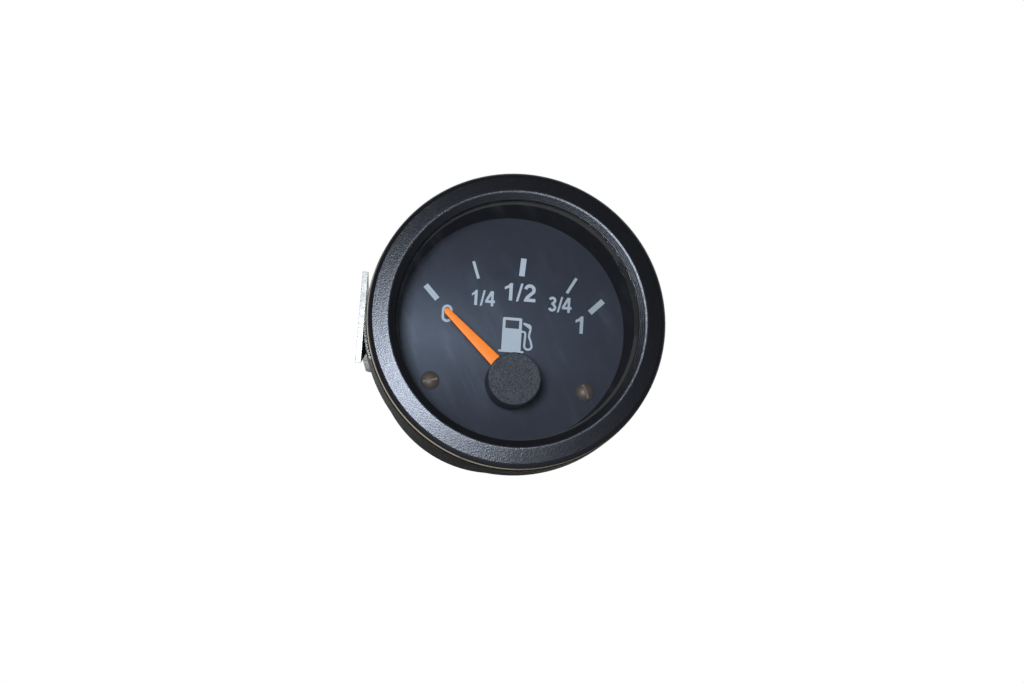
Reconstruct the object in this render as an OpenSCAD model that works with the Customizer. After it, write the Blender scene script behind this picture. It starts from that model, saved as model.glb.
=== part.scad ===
// Electric fuel gauge for a 52 mm panel hole. X is to the right, Y to the rear and Z up. The origin is
// on the case's axis, in the plane where the head meets the panel. All lengths are in millimetres.

/* [Front ring] */
// Outer diameter of the front ring
head_d = 60; // [59.6:0.1:62]
// Distance from the ring's lip back to the panel
head_depth = 13; // [12.6:0.1:18]
// Distance by which the head stands out beyond the barrel
flange_w = 4; // [3.6:0.1:4.4]
// Distance from the shade ring's opening out to the window's edge
window_step = 0.45; // [0.3:0.05:0.6]
// Width of the ridged slope between the window and the lip
slope_w = 1.65; // [1.3:0.05:2]
// Drop from the lip down to the window's edge
window_drop = 0.85; // [0.6:0.05:1]
// Number of fine ridges between the lip and the window
ridge_count = 4; // [2:1:6]
// Height of each fine ridge
ridge_h = 0.12; // [0.05:0.01:0.2]
// Width of the rounding at the ring's outer edge
edge_round = 0.9; // [0.5:0.05:1.1]
// Depth of that rounding
edge_drop = 0.65; // [0.4:0.05:0.9]
// Drop of the face from the lip to its outer edge
face_drop = 0.6; // [0.3:0.05:0.9]
// Thickness of the ring from the lip to the glass
ring_flange = 1.2; // [1.05:0.05:1.8]
// Wall of the ring's skirt
ring_wall = 0.7; // [0.5:0.05:0.85]
// Length of the ring's skirt behind the lip
ring_lap = 3.3; // [3:0.1:3.4]
// Cross-section radius of the rolled bead
bead_r = 0.6; // [0.4:0.05:0.7]

/* [Case] */
// Distance by which the collar stands out beyond the ring
collar_proud = 0.2; // [0.1:0.05:0.6]
// Wall of the collar
collar_wall = 1.6; // [1.2:0.1:1.8]
// Wall of the barrel in front of its inner shoulder
barrel_wall = 1.5; // [1.2:0.05:1.6]
// Width of the inner shoulder that the light guide sits on
shoulder_w = 0.9; // [0.5:0.1:1]
// Distance from the panel back to the case's rear face
barrel_depth = 36; // [36:0.5:44]
// Thickness of the rear wall
rear_wall = 2; // [1.5:0.1:3]
// Thickness of the web that joins collar and barrel
web_t = 1.6; // [1.2:0.1:2.5]
// Number of ribs in the channel behind the web
rib_count = 12; // [6:1:24]
// Thickness of those ribs
rib_t = 1.2; // [0.8:0.1:2]
// Raised step of the barrel under the panel seal
seal_step = 0.3; // [0.2:0.05:0.5]
// Length of the panel seal along the axis
seal_len = 4; // [2:0.25:6]
// How far the seal stands out behind the collar
seal_proud = 0.3; // [0.1:0.05:0.6]

/* [Glass] */
// Thickness of the glass
glass_t = 2; // [1.5:0.1:2.2]
// Thickness of the gasket behind the glass
gasket_t = 0.6; // [0.4:0.1:1]
// Wall of the case's front rim round the glass
rim_wall = 1.7; // [1.2:0.1:2.2]
// Distance from the bore in to the shade ring's opening at the glass
shade_lip = 0.5; // [0.35:0.05:0.8]
// Taper of the shade ring's opening from the glass to the dial
shade_taper = 0.55; // [0.2:0.05:0.8]

/* [Dial] */
// Depth of the dial's face below the lip
dial_depth = 13.2; // [12:0.1:14]
// Thickness of the dial
dial_t = 0.8; // [0.5:0.1:1.2]
// Sideways place of the pointer's spindle
pivot_x = 0.45; // [0:0.05:0.6]
// Height of the pointer's spindle
pivot_z = -11.4; // [-11.6:0.1:-10]
// Radius of the hole for the spindle in the dial
dial_hole_r = 2.2; // [1.8:0.1:3]
// Distance of the dial screws from the dial's edge
screw_inset = 4.52; // [4.4:0.02:4.9]
// Angle of the dial screws below level
screw_angle = 36.4; // [33:0.1:38]
// Head radius of the dial screws
screw_head_r = 1.9; // [1.6:0.1:2.4]
// Head height of the dial screws
screw_head_h = 1.15; // [0.9:0.05:1.5]
// Slot width of the dial screws
screw_slot = 0.55; // [0.3:0.05:0.8]
// Shank radius of the dial screws
screw_r = 1.25; // [1:0.05:1.4]
// Shank length of the dial screws
screw_len = 6; // [4:0.5:10]
// Turn of the left screw's slot
left_slot_turn = 15; // [-90:1:90]
// Turn of the right screw's slot
right_slot_turn = -65; // [-90:1:90]

/* [Dial printing] */
// Thickness of the printed ink
print_t = 0.08; // [0.05:0.01:0.15]
// Sideways place of the scale's centre
scale_x = 0.1; // [0:0.05:0.5]
// Outer radius of the scale marks from the scale's centre
mark_outer_r = 26.55; // [25:0.05:27]
// Length of the scale marks
mark_len = 3.75; // [2:0.05:5]
// Width of the main marks
main_mark_w = 1.15; // [0.8:0.05:1.5]
// Width of the marks in between
minor_mark_w = 0.6; // [0.3:0.05:0.8]
// Height of the numerals at the main marks
main_numeral_h = 3.65; // [2.5:0.05:4]
// Height of the numerals at the other marks
minor_numeral_h = 3.15; // [2:0.05:3.5]
// Width of the pump symbol's body
pump_w = 4; // [3:0.05:4.5]
// Height of the pump symbol's body
pump_h = 6.9; // [5.5:0.05:7]
// Line width of the pump symbol's hose
hose_w = 0.42; // [0.2:0.02:0.5]

/* [Pointer] */
// Length of the pointer from its spindle to its tip
pointer_len = 19.9; // [16:0.1:21]
// Width of the pointer at the cap
pointer_base_w = 3.1; // [1.5:0.1:3.5]
// Width of the pointer near its tip
pointer_tip_w = 1.25; // [0.5:0.05:1.5]
// Thickness of the pointer
pointer_t = 0.8; // [0.5:0.05:1.2]
// Angle of the resting pointer from upright, to the left
pointer_rest = 47.8; // [44:0.1:50]
// Radius of the pointer's cap
cap_r = 5.4; // [4.5:0.1:6]
// Height of the cap
cap_h = 6.4; // [5:0.1:6.6]
// Depth of the cap's face below the lip
cap_depth = 5; // [4.6:0.1:6]
// Thickness of the cap's face
cap_face_t = 1; // [0.6:0.1:1.5]
// Wall of the cap's skirt
cap_wall = 1; // [0.7:0.1:1.5]
// Rounding of the cap's front edge
cap_round = 0.4; // [0.1:0.05:0.6]
// Radius of the spindle
spindle_r = 0.5; // [0.4:0.05:0.75]
// Running clearance of the spindle in its bushings
spindle_gap = 0.03; // [0.02:0.01:0.08]

/* [Movement] */
// Thickness of the carrier plate behind the dial
carrier_t = 1.6; // [1.2:0.1:2.4]
// Width of the light guide's ring
guide_w = 1.9; // [1.4:0.1:2]
// Depth of the light guide
guide_t = 3; // [2:0.1:4]
// Gap between the shield can and the bore
can_gap = 1.2; // [0.8:0.05:1.4]
// Wall of the shield can
can_wall = 0.6; // [0.4:0.05:0.8]
// Gap between the shield can and the circuit board
board_gap = 4; // [2:0.1:4.5]
// Wall of the coil former round the rotor magnet's chamber
chamber_wall = 0.7; // [0.6:0.05:1]
// Thickness of the rotor magnet
magnet_t = 5; // [3:0.1:5.2]
// Gap between the magnet and its chamber
magnet_gap = 0.4; // [0.2:0.05:0.5]
// Share of the core's width that a winding takes up
coil_share = 0.65; // [0.45:0.01:0.65]
// Thickness of the inner winding
inner_coil_t = 1.5; // [1:0.1:1.6]
// Thickness of the outer winding
outer_coil_t = 1.1; // [0.8:0.1:1.2]
// Distance from the shield can's outside in to the coil former's core
core_inset = 5; // [4.6:0.1:5.2]
// Radius of the front and rear bushings
bushing_r = 1.6; // [1.4:0.1:1.9]
// Radius of the pillars
pillar_r = 2.5; // [2:0.1:2.5]
// Thickness of the circuit board
board_t = 1.6; // [1:0.1:2]
// Thickness of the base plate
base_t = 2; // [1.5:0.1:2.5]
// Length of the spacers behind the circuit board
spacer_len = 4.4; // [4.2:0.1:5]

/* [Rear] */
// Width of the spade terminals
spade_w = 6.3; // [4.8:0.1:6.3]
// Thickness of the spade terminals
spade_t = 0.8; // [0.5:0.05:1]
// Length of the spade terminals behind the insulator
spade_len = 8.3; // [6:0.1:10]
// Distance from one spade terminal to the next
spade_pitch = 9; // [8:0.5:10]
// Height of the row of spade terminals
spade_z = -15; // [-16:0.5:-14]
// Radius of the hole in each spade terminal
spade_hole_r = 0.9; // [0.6:0.05:1.2]
// Chamfer of the spade terminals' ends
spade_chamfer = 0.8; // [0.4:0.05:0.9]
// Thickness of the terminal insulator
insulator_t = 1.2; // [0.8:0.1:2]
// Height of the terminal insulator
insulator_h = 7; // [5:0.1:8]
// Rim of the insulator beside the outer spade terminals
insulator_rim = 1; // [0.5:0.1:1.5]
// Height of the lamp holder above the axis
lamp_z = 14; // [13.8:0.1:15]
// Radius of the lamp holder's plug
lamp_plug_r = 6.4; // [5.5:0.1:6.8]
// Sliding clearance of the lamp holder in the rear wall
lamp_gap = 0.05; // [0.03:0.01:0.1]
// Radius of the lamp holder's flange
lamp_flange_r = 7.5; // [7.2:0.1:7.6]
// Thickness of the lamp holder's flange
flange_t = 2; // [1.5:0.1:2.5]
// Radius of the lamp holder's grip
grip_r = 5.4; // [5:0.1:5.8]
// Distance between the two flats of the grip
grip_flats = 8.8; // [8:0.1:9.4]
// Length of the grip
grip_len = 6; // [4.5:0.1:8]
// Distance between the lamp's contact tabs
tab_spacing = 5.2; // [4.6:0.1:6]
// Width of the contact tabs
tab_w = 2.8; // [2:0.1:3.2]
// Thickness of the contact tabs
tab_t = 0.5; // [0.4:0.05:0.8]
// Length of the contact tabs behind the grip
tab_len = 6; // [4:0.1:8]
// Radius of the lamp bulb
bulb_r = 3.4; // [2.5:0.1:3.6]
// Gap between the mounting studs' heads and the bore
stud_head_gap = 2.6; // [2.2:0.1:3.4]
// Radius of the mounting studs
stud_r = 2; // [1.5:0.1:2.5]
// Length of the studs behind the rear wall
stud_len = 24; // [23:0.5:30]
// Clearance of nuts and holes round the studs
stud_gap = 0.04; // [0.03:0.01:0.1]

/* [Clamp] */
// Sheet thickness of the clamp bracket
clamp_t = 1.2; // [1:0.1:2]
// Width of the bracket's feet
foot_w = 19; // [14:0.1:20]
// Width of the bracket's cross-piece
strap_w = 9.6; // [9:0.1:12]
// Length over which the legs narrow from foot to strap width
foot_taper = 16; // [10:0.5:24]
// Gap between the barrel and a leg's inner face at the rear
leg_gap = 0.75; // [0.65:0.05:2]
// Distance by which the left foot stands out beyond its leg's rear end
foot_splay = 3.35; // [2:0.05:4.2]
// The same for the right foot, which the front ring hides
right_splay = 2; // [1.5:0.05:3]
// Turn of the bracket on its studs, as photographed
bracket_turn = 0.6; // [0:0.1:0.6]
// Gap between the panel plane and the feet, as photographed
foot_gap = 0.6; // [0.3:0.1:4]
// Gap between the case's rear face and the bracket's cross-piece
strap_gap = 5; // [4.5:0.1:8]
// Inner radius of the bracket's bends
bend_r = 1.6; // [1:0.1:3]
// Radius of the knurled nuts
knurl_r = 5; // [4:0.1:5]
// Length of the knurled nuts
knurl_len = 6; // [4:0.1:6]
// Number of ridges on each knurled nut
knurl_count = 36; // [20:1:48]
// Depth of the knurl
knurl_depth = 0.3; // [0.1:0.05:0.5]

/* [Hidden] */
$fn = 96;
fit = 0.05;
small = 0.01;

// Places along the axis
lip_y = -head_depth;
glass_y = lip_y + ring_flange;
gasket_y = glass_y + glass_t;
ledge_y = gasket_y + gasket_t;
collar_y = lip_y + ring_lap + 0.2;
rib_y = ledge_y + web_t;
dial_y = lip_y + dial_depth;
carrier_y = dial_y + dial_t;
can_y = carrier_y + carrier_t;
rear_y = barrel_depth;
base_y = rear_y - rear_wall - base_t;
board_y = base_y - spacer_len - board_t;
can_end_y = board_y - board_gap;
washer_t = 0.8;
thin_nut_t = 2.2;
strap_y = rear_y + strap_gap;
spring_washer_t = 1;
knurl_y = strap_y + clamp_t + spring_washer_t;

// Radii about the case's axis
ring_r = head_d / 2;
ring_in_r = ring_r - ring_wall;
face_edge_r = ring_r - edge_round;
collar_r = ring_r + collar_proud;
channel_r = collar_r - collar_wall;
rim_r = ring_in_r - fit;
glass_pocket_r = rim_r - rim_wall;
glass_r = glass_pocket_r - 2 * fit;
barrel_r = ring_r - flange_w;
bore_r = barrel_r - barrel_wall;
inner_bore_r = bore_r - shoulder_w;
shade_front_r = bore_r - shade_lip;
shade_rear_r = shade_front_r - shade_taper;
window_r = shade_front_r + window_step;
lip_r = window_r + slope_w;
guide_r = bore_r - 2 * fit;
carrier_r = guide_r - guide_w - 2 * fit;
board_r = inner_bore_r - 0.8;
base_r = inner_bore_r - 2 * fit;

// Places across the axis
screw_x = (guide_r - screw_inset) * cos(screw_angle);
screw_z = -(guide_r - screw_inset) * sin(screw_angle);
stud_head_r = 1.75 * stud_r;
stud_x = inner_bore_r - stud_head_gap - stud_head_r;
leg_rear_x = barrel_r + leg_gap;
foot_x = leg_rear_x + foot_splay;

// Windings and their former, from the spindle
can_r = inner_bore_r - can_gap - norm([pivot_x, pivot_z]);
core_half = can_r - core_inset;
coil_half_w = coil_share * core_half;
magnet_r = core_half - chamber_wall - magnet_gap;
channel_half = coil_half_w + 0.1;
former_r = can_r - can_wall - 2 * fit;
outer_coil_front = can_y + 0.2;
inner_coil_front = outer_coil_front + outer_coil_t;
core_front = inner_coil_front + inner_coil_t;
former_end = can_end_y - can_wall;
outer_coil_rear = former_end - 1.2;
inner_coil_rear = outer_coil_rear - outer_coil_t;
core_rear = inner_coil_rear - inner_coil_t;
former_mid = (core_front + core_rear) / 2;
coil_bore_r = spindle_r + 0.5;
pin_r = 0.4;
pin_angle = 57.6;
pin_u = (can_r - 1.3) * cos(pin_angle);
pin_w = (can_r - 1.3) * sin(pin_angle);
return_w = 1.6;
return_len = 5;
return_x = (can_r - 2.5) * cos(45);

// Pointer and cap
cap_y = lip_y + cap_depth;
hub_disc_r = cap_r - cap_wall - 0.1;
blade_rear = cap_y + cap_face_t + 1.2;
blade_front = blade_rear - pointer_t;

// Terminals and lamp
tongue_w = 3;
slot_gap = 0.1;
spade_xs = [-spade_pitch, 0, spade_pitch];
bulb_base_r = bulb_r + 0.1;
bulb_base_len = 9.8;
bulb_floor = 3;
bulb_len = 9.5;
plug_len = 8;
tab_seat = 2;

// Each mark's angle from upright, its inner end, and its numeral's corner from there
mark_angles = [-43.4, -19.1, 3.7, 29, 44.7];
mark_ends = [for (a = mark_angles) [scale_x, pivot_z] + (mark_outer_r - mark_len) * [sin(a), cos(a)]];
numeral_steps = [[1.09, -4.64], [-0.57, -5.59], [-2.41, -5.27], [-3.75, -4.1], [-1.95, -4.54]];
numeral_xz = mark_ends + numeral_steps;
pump_xz = [scale_x - 1.9, pivot_z + 7.02];

// Points along an arc, and along the two sides of a line of even width
function arc(c, r, a0, a1, n) = [for (i = [0:n]) let (a = a0 + (a1 - a0) * i / n) c + r * [cos(a), sin(a)]];
function unit(v) = v / norm(v);
function side(p, i) = let (d = unit(p[min(i + 1, len(p) - 1)] - p[max(i - 1, 0)])) [-d[1], d[0]];
function band(p, w) = concat([for (i = [0:len(p) - 1]) p[i] + side(p, i) * w / 2],
    [for (i = [len(p) - 1:-1:0]) p[i] - side(p, i) * w / 2]);

function backward(p) = [for (i = [len(p) - 1:-1:0]) p[i]];
function mirrored(p) = [for (q = p) [-q[0], q[1]]];

// Turns a profile of [radius, y] about the case's axis
module turned() {
    rotate([-90, 0, 0]) rotate_extrude() children();
}

// Gives a shape drawn as seen from the front its depth from y0 to y1
module slab(y0, y1) {
    translate([0, y1, 0]) rotate([90, 0, 0]) linear_extrude(y1 - y0) children();
}

// A round bar along Y
module rod(x, z, r, y0, y1) {
    translate([x, y0, z]) rotate([-90, 0, 0]) cylinder(r = r, h = y1 - y0);
}

// A round tube along Y
module tube(x, z, r_out, r_in, y0, y1) {
    difference() {
        rod(x, z, r_out, y0, y1);
        rod(x, z, r_in, y0 - 1, y1 + 1);
    }
}

// A box by its middle in x and z, its width and height, and its ends in y
module bar(x, z, w, h, y0, y1) {
    translate([x - w / 2, y0, z - h / 2]) cube([w, y1 - y0, h]);
}

// Places its children at the left and the right of the axis
module both_sides(x, z) {
    for (s = [-1, 1]) translate([s * x, 0, z]) children();
}

// The ring's profile: fine ridges, lip, face, rounded edge, narrow ridge, groove and rolled bead
module bezel_profile() {
    ridge_w = (lip_r - window_r) / ridge_count;
    bead_x = ring_r + 0.1 - bead_r;
    bead_y = lip_y + ring_lap - bead_r + 0.05;
    edge_y = lip_y + face_drop + edge_drop;
    groove_y = edge_y + 0.35;
    polygon(concat(
        [[window_r, glass_y], [window_r, lip_y + window_drop]],
        [for (k = [0:ridge_count - 1], j = [1:5]) let (t = (k + j / 6) / ridge_count)
            [window_r + (k + j / 6) * ridge_w,
             lip_y + window_drop * (1 - t) - ridge_h * sin(180 * j / 6)]],
        [[lip_r, lip_y], [lip_r + 0.25, lip_y - 0.03],
         [(lip_r + face_edge_r) / 2, lip_y + face_drop * 0.32]],
        [for (p = arc([0, 0], 1, -90, 0, 8))
            [face_edge_r + edge_round * p[0], edge_y + edge_drop * p[1]]],
        arc([ring_r - 0.04, groove_y - 0.12], 0.14, -60, 60, 4),
        [[ring_r - 0.2, groove_y + 0.1]],
        arc([bead_x, bead_y], bead_r, -62, 90, 12),
        [[ring_in_r, lip_y + ring_lap], [ring_in_r, glass_y]]));
}

module bezel_ring() color([0.07, 0.07, 0.08]) turned() bezel_profile();

module lens_glass() color([0.8, 0.9, 0.95, 0.3])
    rod(0, 0, glass_r, glass_y, gasket_y);

module lens_gasket() color([0.05, 0.05, 0.05])
    tube(0, 0, glass_r, shade_front_r, gasket_y, ledge_y);

// The dark ring between the glass and the dial, a little narrower at the dial
module shade_ring() color([0.03, 0.03, 0.03]) turned()
    polygon([[shade_front_r, ledge_y], [bore_r - fit, ledge_y], [bore_r - fit, dial_y],
        [shade_rear_r, dial_y]]);

module case_body() color([0.13, 0.13, 0.14]) difference() {
    union() {
        turned() polygon([
            [bore_r, ledge_y], [glass_pocket_r, ledge_y], [glass_pocket_r, glass_y], [rim_r, glass_y],
            [rim_r, collar_y], [collar_r - 0.4, collar_y], [collar_r, collar_y + 0.4],
            [collar_r, -seal_proud - 0.2], [collar_r - 0.2, -seal_proud], [channel_r, -seal_proud],
            [channel_r, rib_y], [barrel_r + seal_step, rib_y], [barrel_r + seal_step, 0], [barrel_r, 0],
            [barrel_r, rear_y - 0.8], [barrel_r - 0.8, rear_y], [0, rear_y], [0, rear_y - rear_wall],
            [inner_bore_r, rear_y - rear_wall], [inner_bore_r, carrier_y + guide_t],
            [bore_r, carrier_y + guide_t]]);
        for (i = [0:rib_count - 1]) rotate([0, (i + 0.5) * 360 / rib_count, 0])
            bar((barrel_r + channel_r) / 2, 0, channel_r - barrel_r + 0.4, rib_t, rib_y - 0.2, -seal_len);
    }
    both_sides(stud_x, 0) rod(0, 0, stud_r + stud_gap, rear_y - rear_wall - 1, rear_y + 1);
    rod(0, lamp_z, lamp_plug_r + lamp_gap, rear_y - rear_wall - 1, rear_y + 1);
    for (x = spade_xs)
        bar(x, spade_z, tongue_w + 2 * slot_gap, spade_t + 2 * slot_gap,
            rear_y - rear_wall - 1, rear_y + 1);
}

module panel_seal() color([0.04, 0.04, 0.04])
    tube(0, 0, channel_r - 2 * fit, barrel_r + seal_step, -seal_len, 0);

module dial_plate() color([0.17, 0.19, 0.23]) difference() {
    rod(0, 0, guide_r, dial_y, carrier_y);
    rod(pivot_x, pivot_z, dial_hole_r, dial_y - 1, carrier_y + 1);
    both_sides(screw_x, screw_z) rod(0, 0, screw_r + fit, dial_y - 1, carrier_y + 1);
}

module ink() {
    color([0.72, 0.78, 0.86]) slab(dial_y - print_t, dial_y) children();
}

module scale_marks() ink()
    for (i = [0:len(mark_angles) - 1]) translate([scale_x, pivot_z]) rotate(-mark_angles[i])
        translate([0, mark_outer_r - mark_len / 2])
            square([i % 2 == 0 ? main_mark_w : minor_mark_w, mark_len], center = true);

// Numerals of height 1, each drawn from the lower left corner of its figure or, for 1, of its stem
module digit_0() difference() {
    union() {
        for (y = [0.3, 0.7]) translate([0.3, y]) circle(0.3);
        translate([0, 0.3]) square([0.6, 0.4]);
    }
    for (y = [0.3, 0.7]) translate([0.3, y]) circle(0.155);
    translate([0.145, 0.3]) square([0.31, 0.4]);
}
module digit_1(flag) polygon([[0, 0], [0.19, 0], [0.19, 1], [0.05, 1], [-0.35 * flag, 0.85], [-flag, 0.77],
    [-flag, 0.61], [0, 0.73]]);
module digit_2() {
    polygon(band(concat(arc([0.32, 0.685], 0.235, 172, -32, 16), [[0.18, 0.24], [0.115, 0.08]]), 0.19));
    polygon([[0, 0], [0.66, 0], [0.66, 0.19], [0.1, 0.19], [0.02, 0.12]]);
}
module digit_3() {
    polygon(band(arc([0.265, 0.745], 0.17, 165, -80, 14), 0.17));
    polygon(band(arc([0.265, 0.275], 0.19, 82, -165, 16), 0.17));
    translate([0.2, 0.45]) square([0.12, 0.15]);
}
module digit_4() difference() {
    polygon([[0, 0.21], [0, 0.38], [0.33, 1], [0.53, 1], [0.53, 0.39], [0.63, 0.39], [0.63, 0.22],
        [0.53, 0.22], [0.53, 0], [0.365, 0], [0.365, 0.21]]);
    polygon([[0.18, 0.385], [0.365, 0.385], [0.365, 0.7]]);
}
module fraction_bar(lean) polygon([[0, -0.02], [0.13, -0.02], [0.13 + lean, 1.02], [lean, 1.02]]);

module scale_numerals() ink() {
    translate(numeral_xz[0]) scale(main_numeral_h) digit_0();
    translate(numeral_xz[1]) scale(minor_numeral_h) {
        digit_1(0.18);
        translate([0.37, 0]) fraction_bar(0.2);
        translate([0.72, 0]) digit_4();
    }
    translate(numeral_xz[2]) scale(main_numeral_h) {
        digit_1(0.26);
        translate([0.405, 0]) fraction_bar(0.25);
        translate([0.85, 0]) digit_2();
    }
    translate(numeral_xz[3]) scale(minor_numeral_h) {
        digit_3();
        translate([0.585, 0]) fraction_bar(0.25);
        translate([0.915, 0]) digit_4();
    }
    translate(numeral_xz[4]) scale(main_numeral_h) digit_1(0.25);
}

// The pump sign: body with window and base, hose with its loop, and nozzle
module pump_symbol() ink() translate(pump_xz) {
    corner = 0.35;
    foot_h = 0.42;
    foot_reach = 0.42;
    frame_w = 0.58;
    window_h = 1.7;
    difference() {
        union() {
            square([pump_w, pump_h - corner]);
            translate([corner, 0]) square([pump_w - 2 * corner, pump_h]);
            for (x = [corner, pump_w - corner]) translate([x, pump_h - corner]) circle(corner);
            translate([-foot_reach, -0.36]) square([pump_w + 2 * foot_reach, foot_h]);
            for (x = [-foot_reach, pump_w + foot_reach])
                translate([x, foot_h / 2 - 0.36]) circle(foot_h / 2);
        }
        translate([frame_w, pump_h - 0.57 - window_h]) square([pump_w - 2 * frame_w, window_h]);
    }
    translate([pump_w, 0]) {
        polygon(band(concat([[-0.1, 4.12]], arc([0.33, 3.62], 0.48, 90, 0, 6), [[0.75, 2.4]],
            arc([1.48, 1.25], 0.79, 180, 350, 16),
            [[1.97, 2.25], [1.6, 3.1], [1.62, 3.7], [1.86, 4.9]]), hose_w));
        polygon([[0.25, 5.7], [0.26, 5.95], [0.45, 6.04], [1.7, 5.7], [1.95, 5.45], [2.05, 5.02],
            [1.86, 4.84], [1.53, 4.82]]);
    }
}

module dial_screws() color([0.14, 0.12, 0.11]) for (s = [-1, 1]) translate([s * screw_x, 0, screw_z]) {
    dome_r = (screw_head_r * screw_head_r + pow(screw_head_h - 0.3, 2)) / (2 * (screw_head_h - 0.3));
    dome_a = asin(screw_head_r / dome_r);
    difference() {
        union() {
            turned() polygon(concat([[0, dial_y]], [[screw_head_r, dial_y]],
                arc([0, dial_y - screw_head_h + dome_r], dome_r, dome_a - 90, -90, 10)));
            rod(0, 0, screw_r, dial_y - small, dial_y + screw_len);
        }
        rotate([0, -(s < 0 ? left_slot_turn : right_slot_turn), 0])
            bar(0, 0, 3 * screw_head_r, screw_slot, dial_y - screw_head_h - 1, dial_y - screw_head_h + 0.5);
    }
}

module at_pivot() translate([pivot_x, 0, pivot_z]) children();

module pointer() color([1, 0.45, 0.05]) at_pivot() difference() {
    union() {
        rod(0, 0, hub_disc_r, cap_y + cap_face_t, blade_rear);
        rod(0, 0, bushing_r, cap_y + cap_face_t, dial_y - 0.8);
        slab(blade_front, blade_rear) rotate(pointer_rest) {
            tip_z = pointer_len - pointer_tip_w / 2;
            polygon([[-pointer_base_w / 2, 0], [pointer_base_w / 2, 0], [pointer_tip_w / 2, tip_z],
                [-pointer_tip_w / 2, tip_z]]);
            translate([0, tip_z]) circle(pointer_tip_w / 2);
        }
    }
    rod(0, 0, spindle_r, cap_y + cap_face_t - 1, dial_y);
}

module pointer_cap() color([0.11, 0.11, 0.12]) at_pivot() difference() {
    turned() polygon(concat([[0, cap_y]], arc([cap_r - cap_round, cap_y + cap_round], cap_round, -90, 0, 6),
        [[cap_r, cap_y + cap_h], [cap_r - cap_wall, cap_y + cap_h], [cap_r - cap_wall, cap_y + cap_face_t],
         [0, cap_y + cap_face_t]]));
    rotate([0, -pointer_rest, 0])
        bar(0, cap_r, pointer_base_w + 0.3, 2 * cap_wall + 1, blade_front - 0.1, cap_y + cap_h + 1);
}

module spindle() color([0.75, 0.76, 0.78]) at_pivot()
    rod(0, 0, spindle_r, cap_y + cap_face_t, can_end_y + 0.3);

module rotor_magnet() color([0.35, 0.33, 0.33]) at_pivot()
    tube(0, 0, magnet_r, spindle_r, former_mid - magnet_t / 2, former_mid + magnet_t / 2);

// The plate that carries the dial in front and the movement behind, with two windows for the light
module carrier_plate() color([0.85, 0.85, 0.82]) difference() {
    rod(0, 0, carrier_r, carrier_y, can_y);
    rod(pivot_x, pivot_z, bushing_r, carrier_y - 1, can_y + 1);
    both_sides(screw_x, screw_z) rod(0, 0, screw_r + fit, carrier_y - 1, can_y + 1);
    for (s = [-1, 1]) slab(carrier_y - 1, can_y + 1) polygon(concat(
        [for (p = arc([0, 0], carrier_r - 2.4, 15, 75, 12)) [s * p[0], p[1]]],
        [for (p = arc([0, 0], carrier_r - 9, 75, 15, 12)) [s * p[0], p[1]]]));
}

module light_guide() color([0.9, 0.95, 0.95, 0.5])
    tube(0, 0, guide_r, guide_r - guide_w, carrier_y, carrier_y + guide_t);

module front_bushing() color([0.78, 0.62, 0.3]) at_pivot() difference() {
    union() {
        rod(0, 0, bushing_r, carrier_y - 0.4, can_y);
        rod(0, 0, spindle_r + 0.45, can_y - small, can_y + 0.15);
    }
    rod(0, 0, spindle_r + spindle_gap, carrier_y - 1, can_y + 1);
}

module rear_bushing() color([0.78, 0.62, 0.3]) at_pivot() difference() {
    union() {
        rod(0, 0, bushing_r, former_end - 0.8, can_end_y);
        rod(0, 0, bushing_r + 0.8, can_end_y, can_end_y + 0.8);
    }
    rod(0, 0, spindle_r + spindle_gap, former_end - 1, can_end_y + 0.3 + fit);
}

module shield_can() color([0.7, 0.7, 0.72]) at_pivot() difference() {
    rod(0, 0, can_r, can_y, can_end_y);
    rod(0, 0, can_r - can_wall, can_y - 1, former_end);
    rod(0, 0, bushing_r, former_end - 1, can_end_y + 1);
    for (x = [-pin_u, pin_u], z = [-pin_w, pin_w]) rod(x, z, 2 * pin_r, former_end - 1, can_end_y + 1);
}

// The moulded former: four fins that part the windings, round a core with the magnet's chamber
module former_half(y0, y1) difference() {
    union() {
        difference() {
            rod(0, 0, former_r, y0, y1);
            bar(0, 0, 2 * channel_half, 3 * former_r, y0 - 1, y1 + 1);
            bar(0, 0, 3 * former_r, 2 * channel_half, y0 - 1, y1 + 1);
        }
        bar(0, 0, 2 * core_half, 2 * channel_half + small, max(y0, core_front), min(y1, core_rear));
        for (s = [-1, 1]) bar(0, s * (channel_half + core_half) / 2, 2 * channel_half + small,
            core_half - channel_half, max(y0, inner_coil_front), min(y1, inner_coil_rear));
    }
    rod(0, 0, magnet_r + magnet_gap, former_mid - magnet_t / 2 - magnet_gap,
        former_mid + magnet_t / 2 + magnet_gap);
    rod(0, 0, spindle_r + 0.4, y0 - 1, y1 + 1);
    return_pocket(former_end + 1);
    for (x = [-pin_u, pin_u], z = [-pin_w, pin_w]) rod(x, z, pin_r, former_end - 2, former_end + 1);
}

// The return magnet's place in the former, open to the rear
module return_pocket(end) bar(return_x, return_x, return_w, return_w, former_end - return_len, end);

module coil_former_front() color([0.88, 0.86, 0.78]) at_pivot() former_half(can_y, former_mid);
module coil_former_rear() color([0.88, 0.86, 0.78]) at_pivot() former_half(former_mid, former_end);

// One winding: a flat rectangular loop round the former, with a way through for the spindle
module winding(y0, y1, t) difference() {
    bar(0, 0, 2 * (core_half + t), 2 * coil_half_w, y0 - t, y1 + t);
    bar(0, 0, 2 * core_half, 3 * coil_half_w, y0, y1);
    rod(0, 0, coil_bore_r, y0 - t - 1, y1 + t + 1);
}
module coil_inner() color([0.72, 0.38, 0.2]) at_pivot() winding(core_front, core_rear, inner_coil_t);
module coil_outer() color([0.75, 0.42, 0.22]) at_pivot() rotate([0, 90, 0])
    winding(inner_coil_front, inner_coil_rear, outer_coil_t);

module return_magnet() color([0.3, 0.3, 0.32]) at_pivot() return_pocket(former_end);

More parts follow.
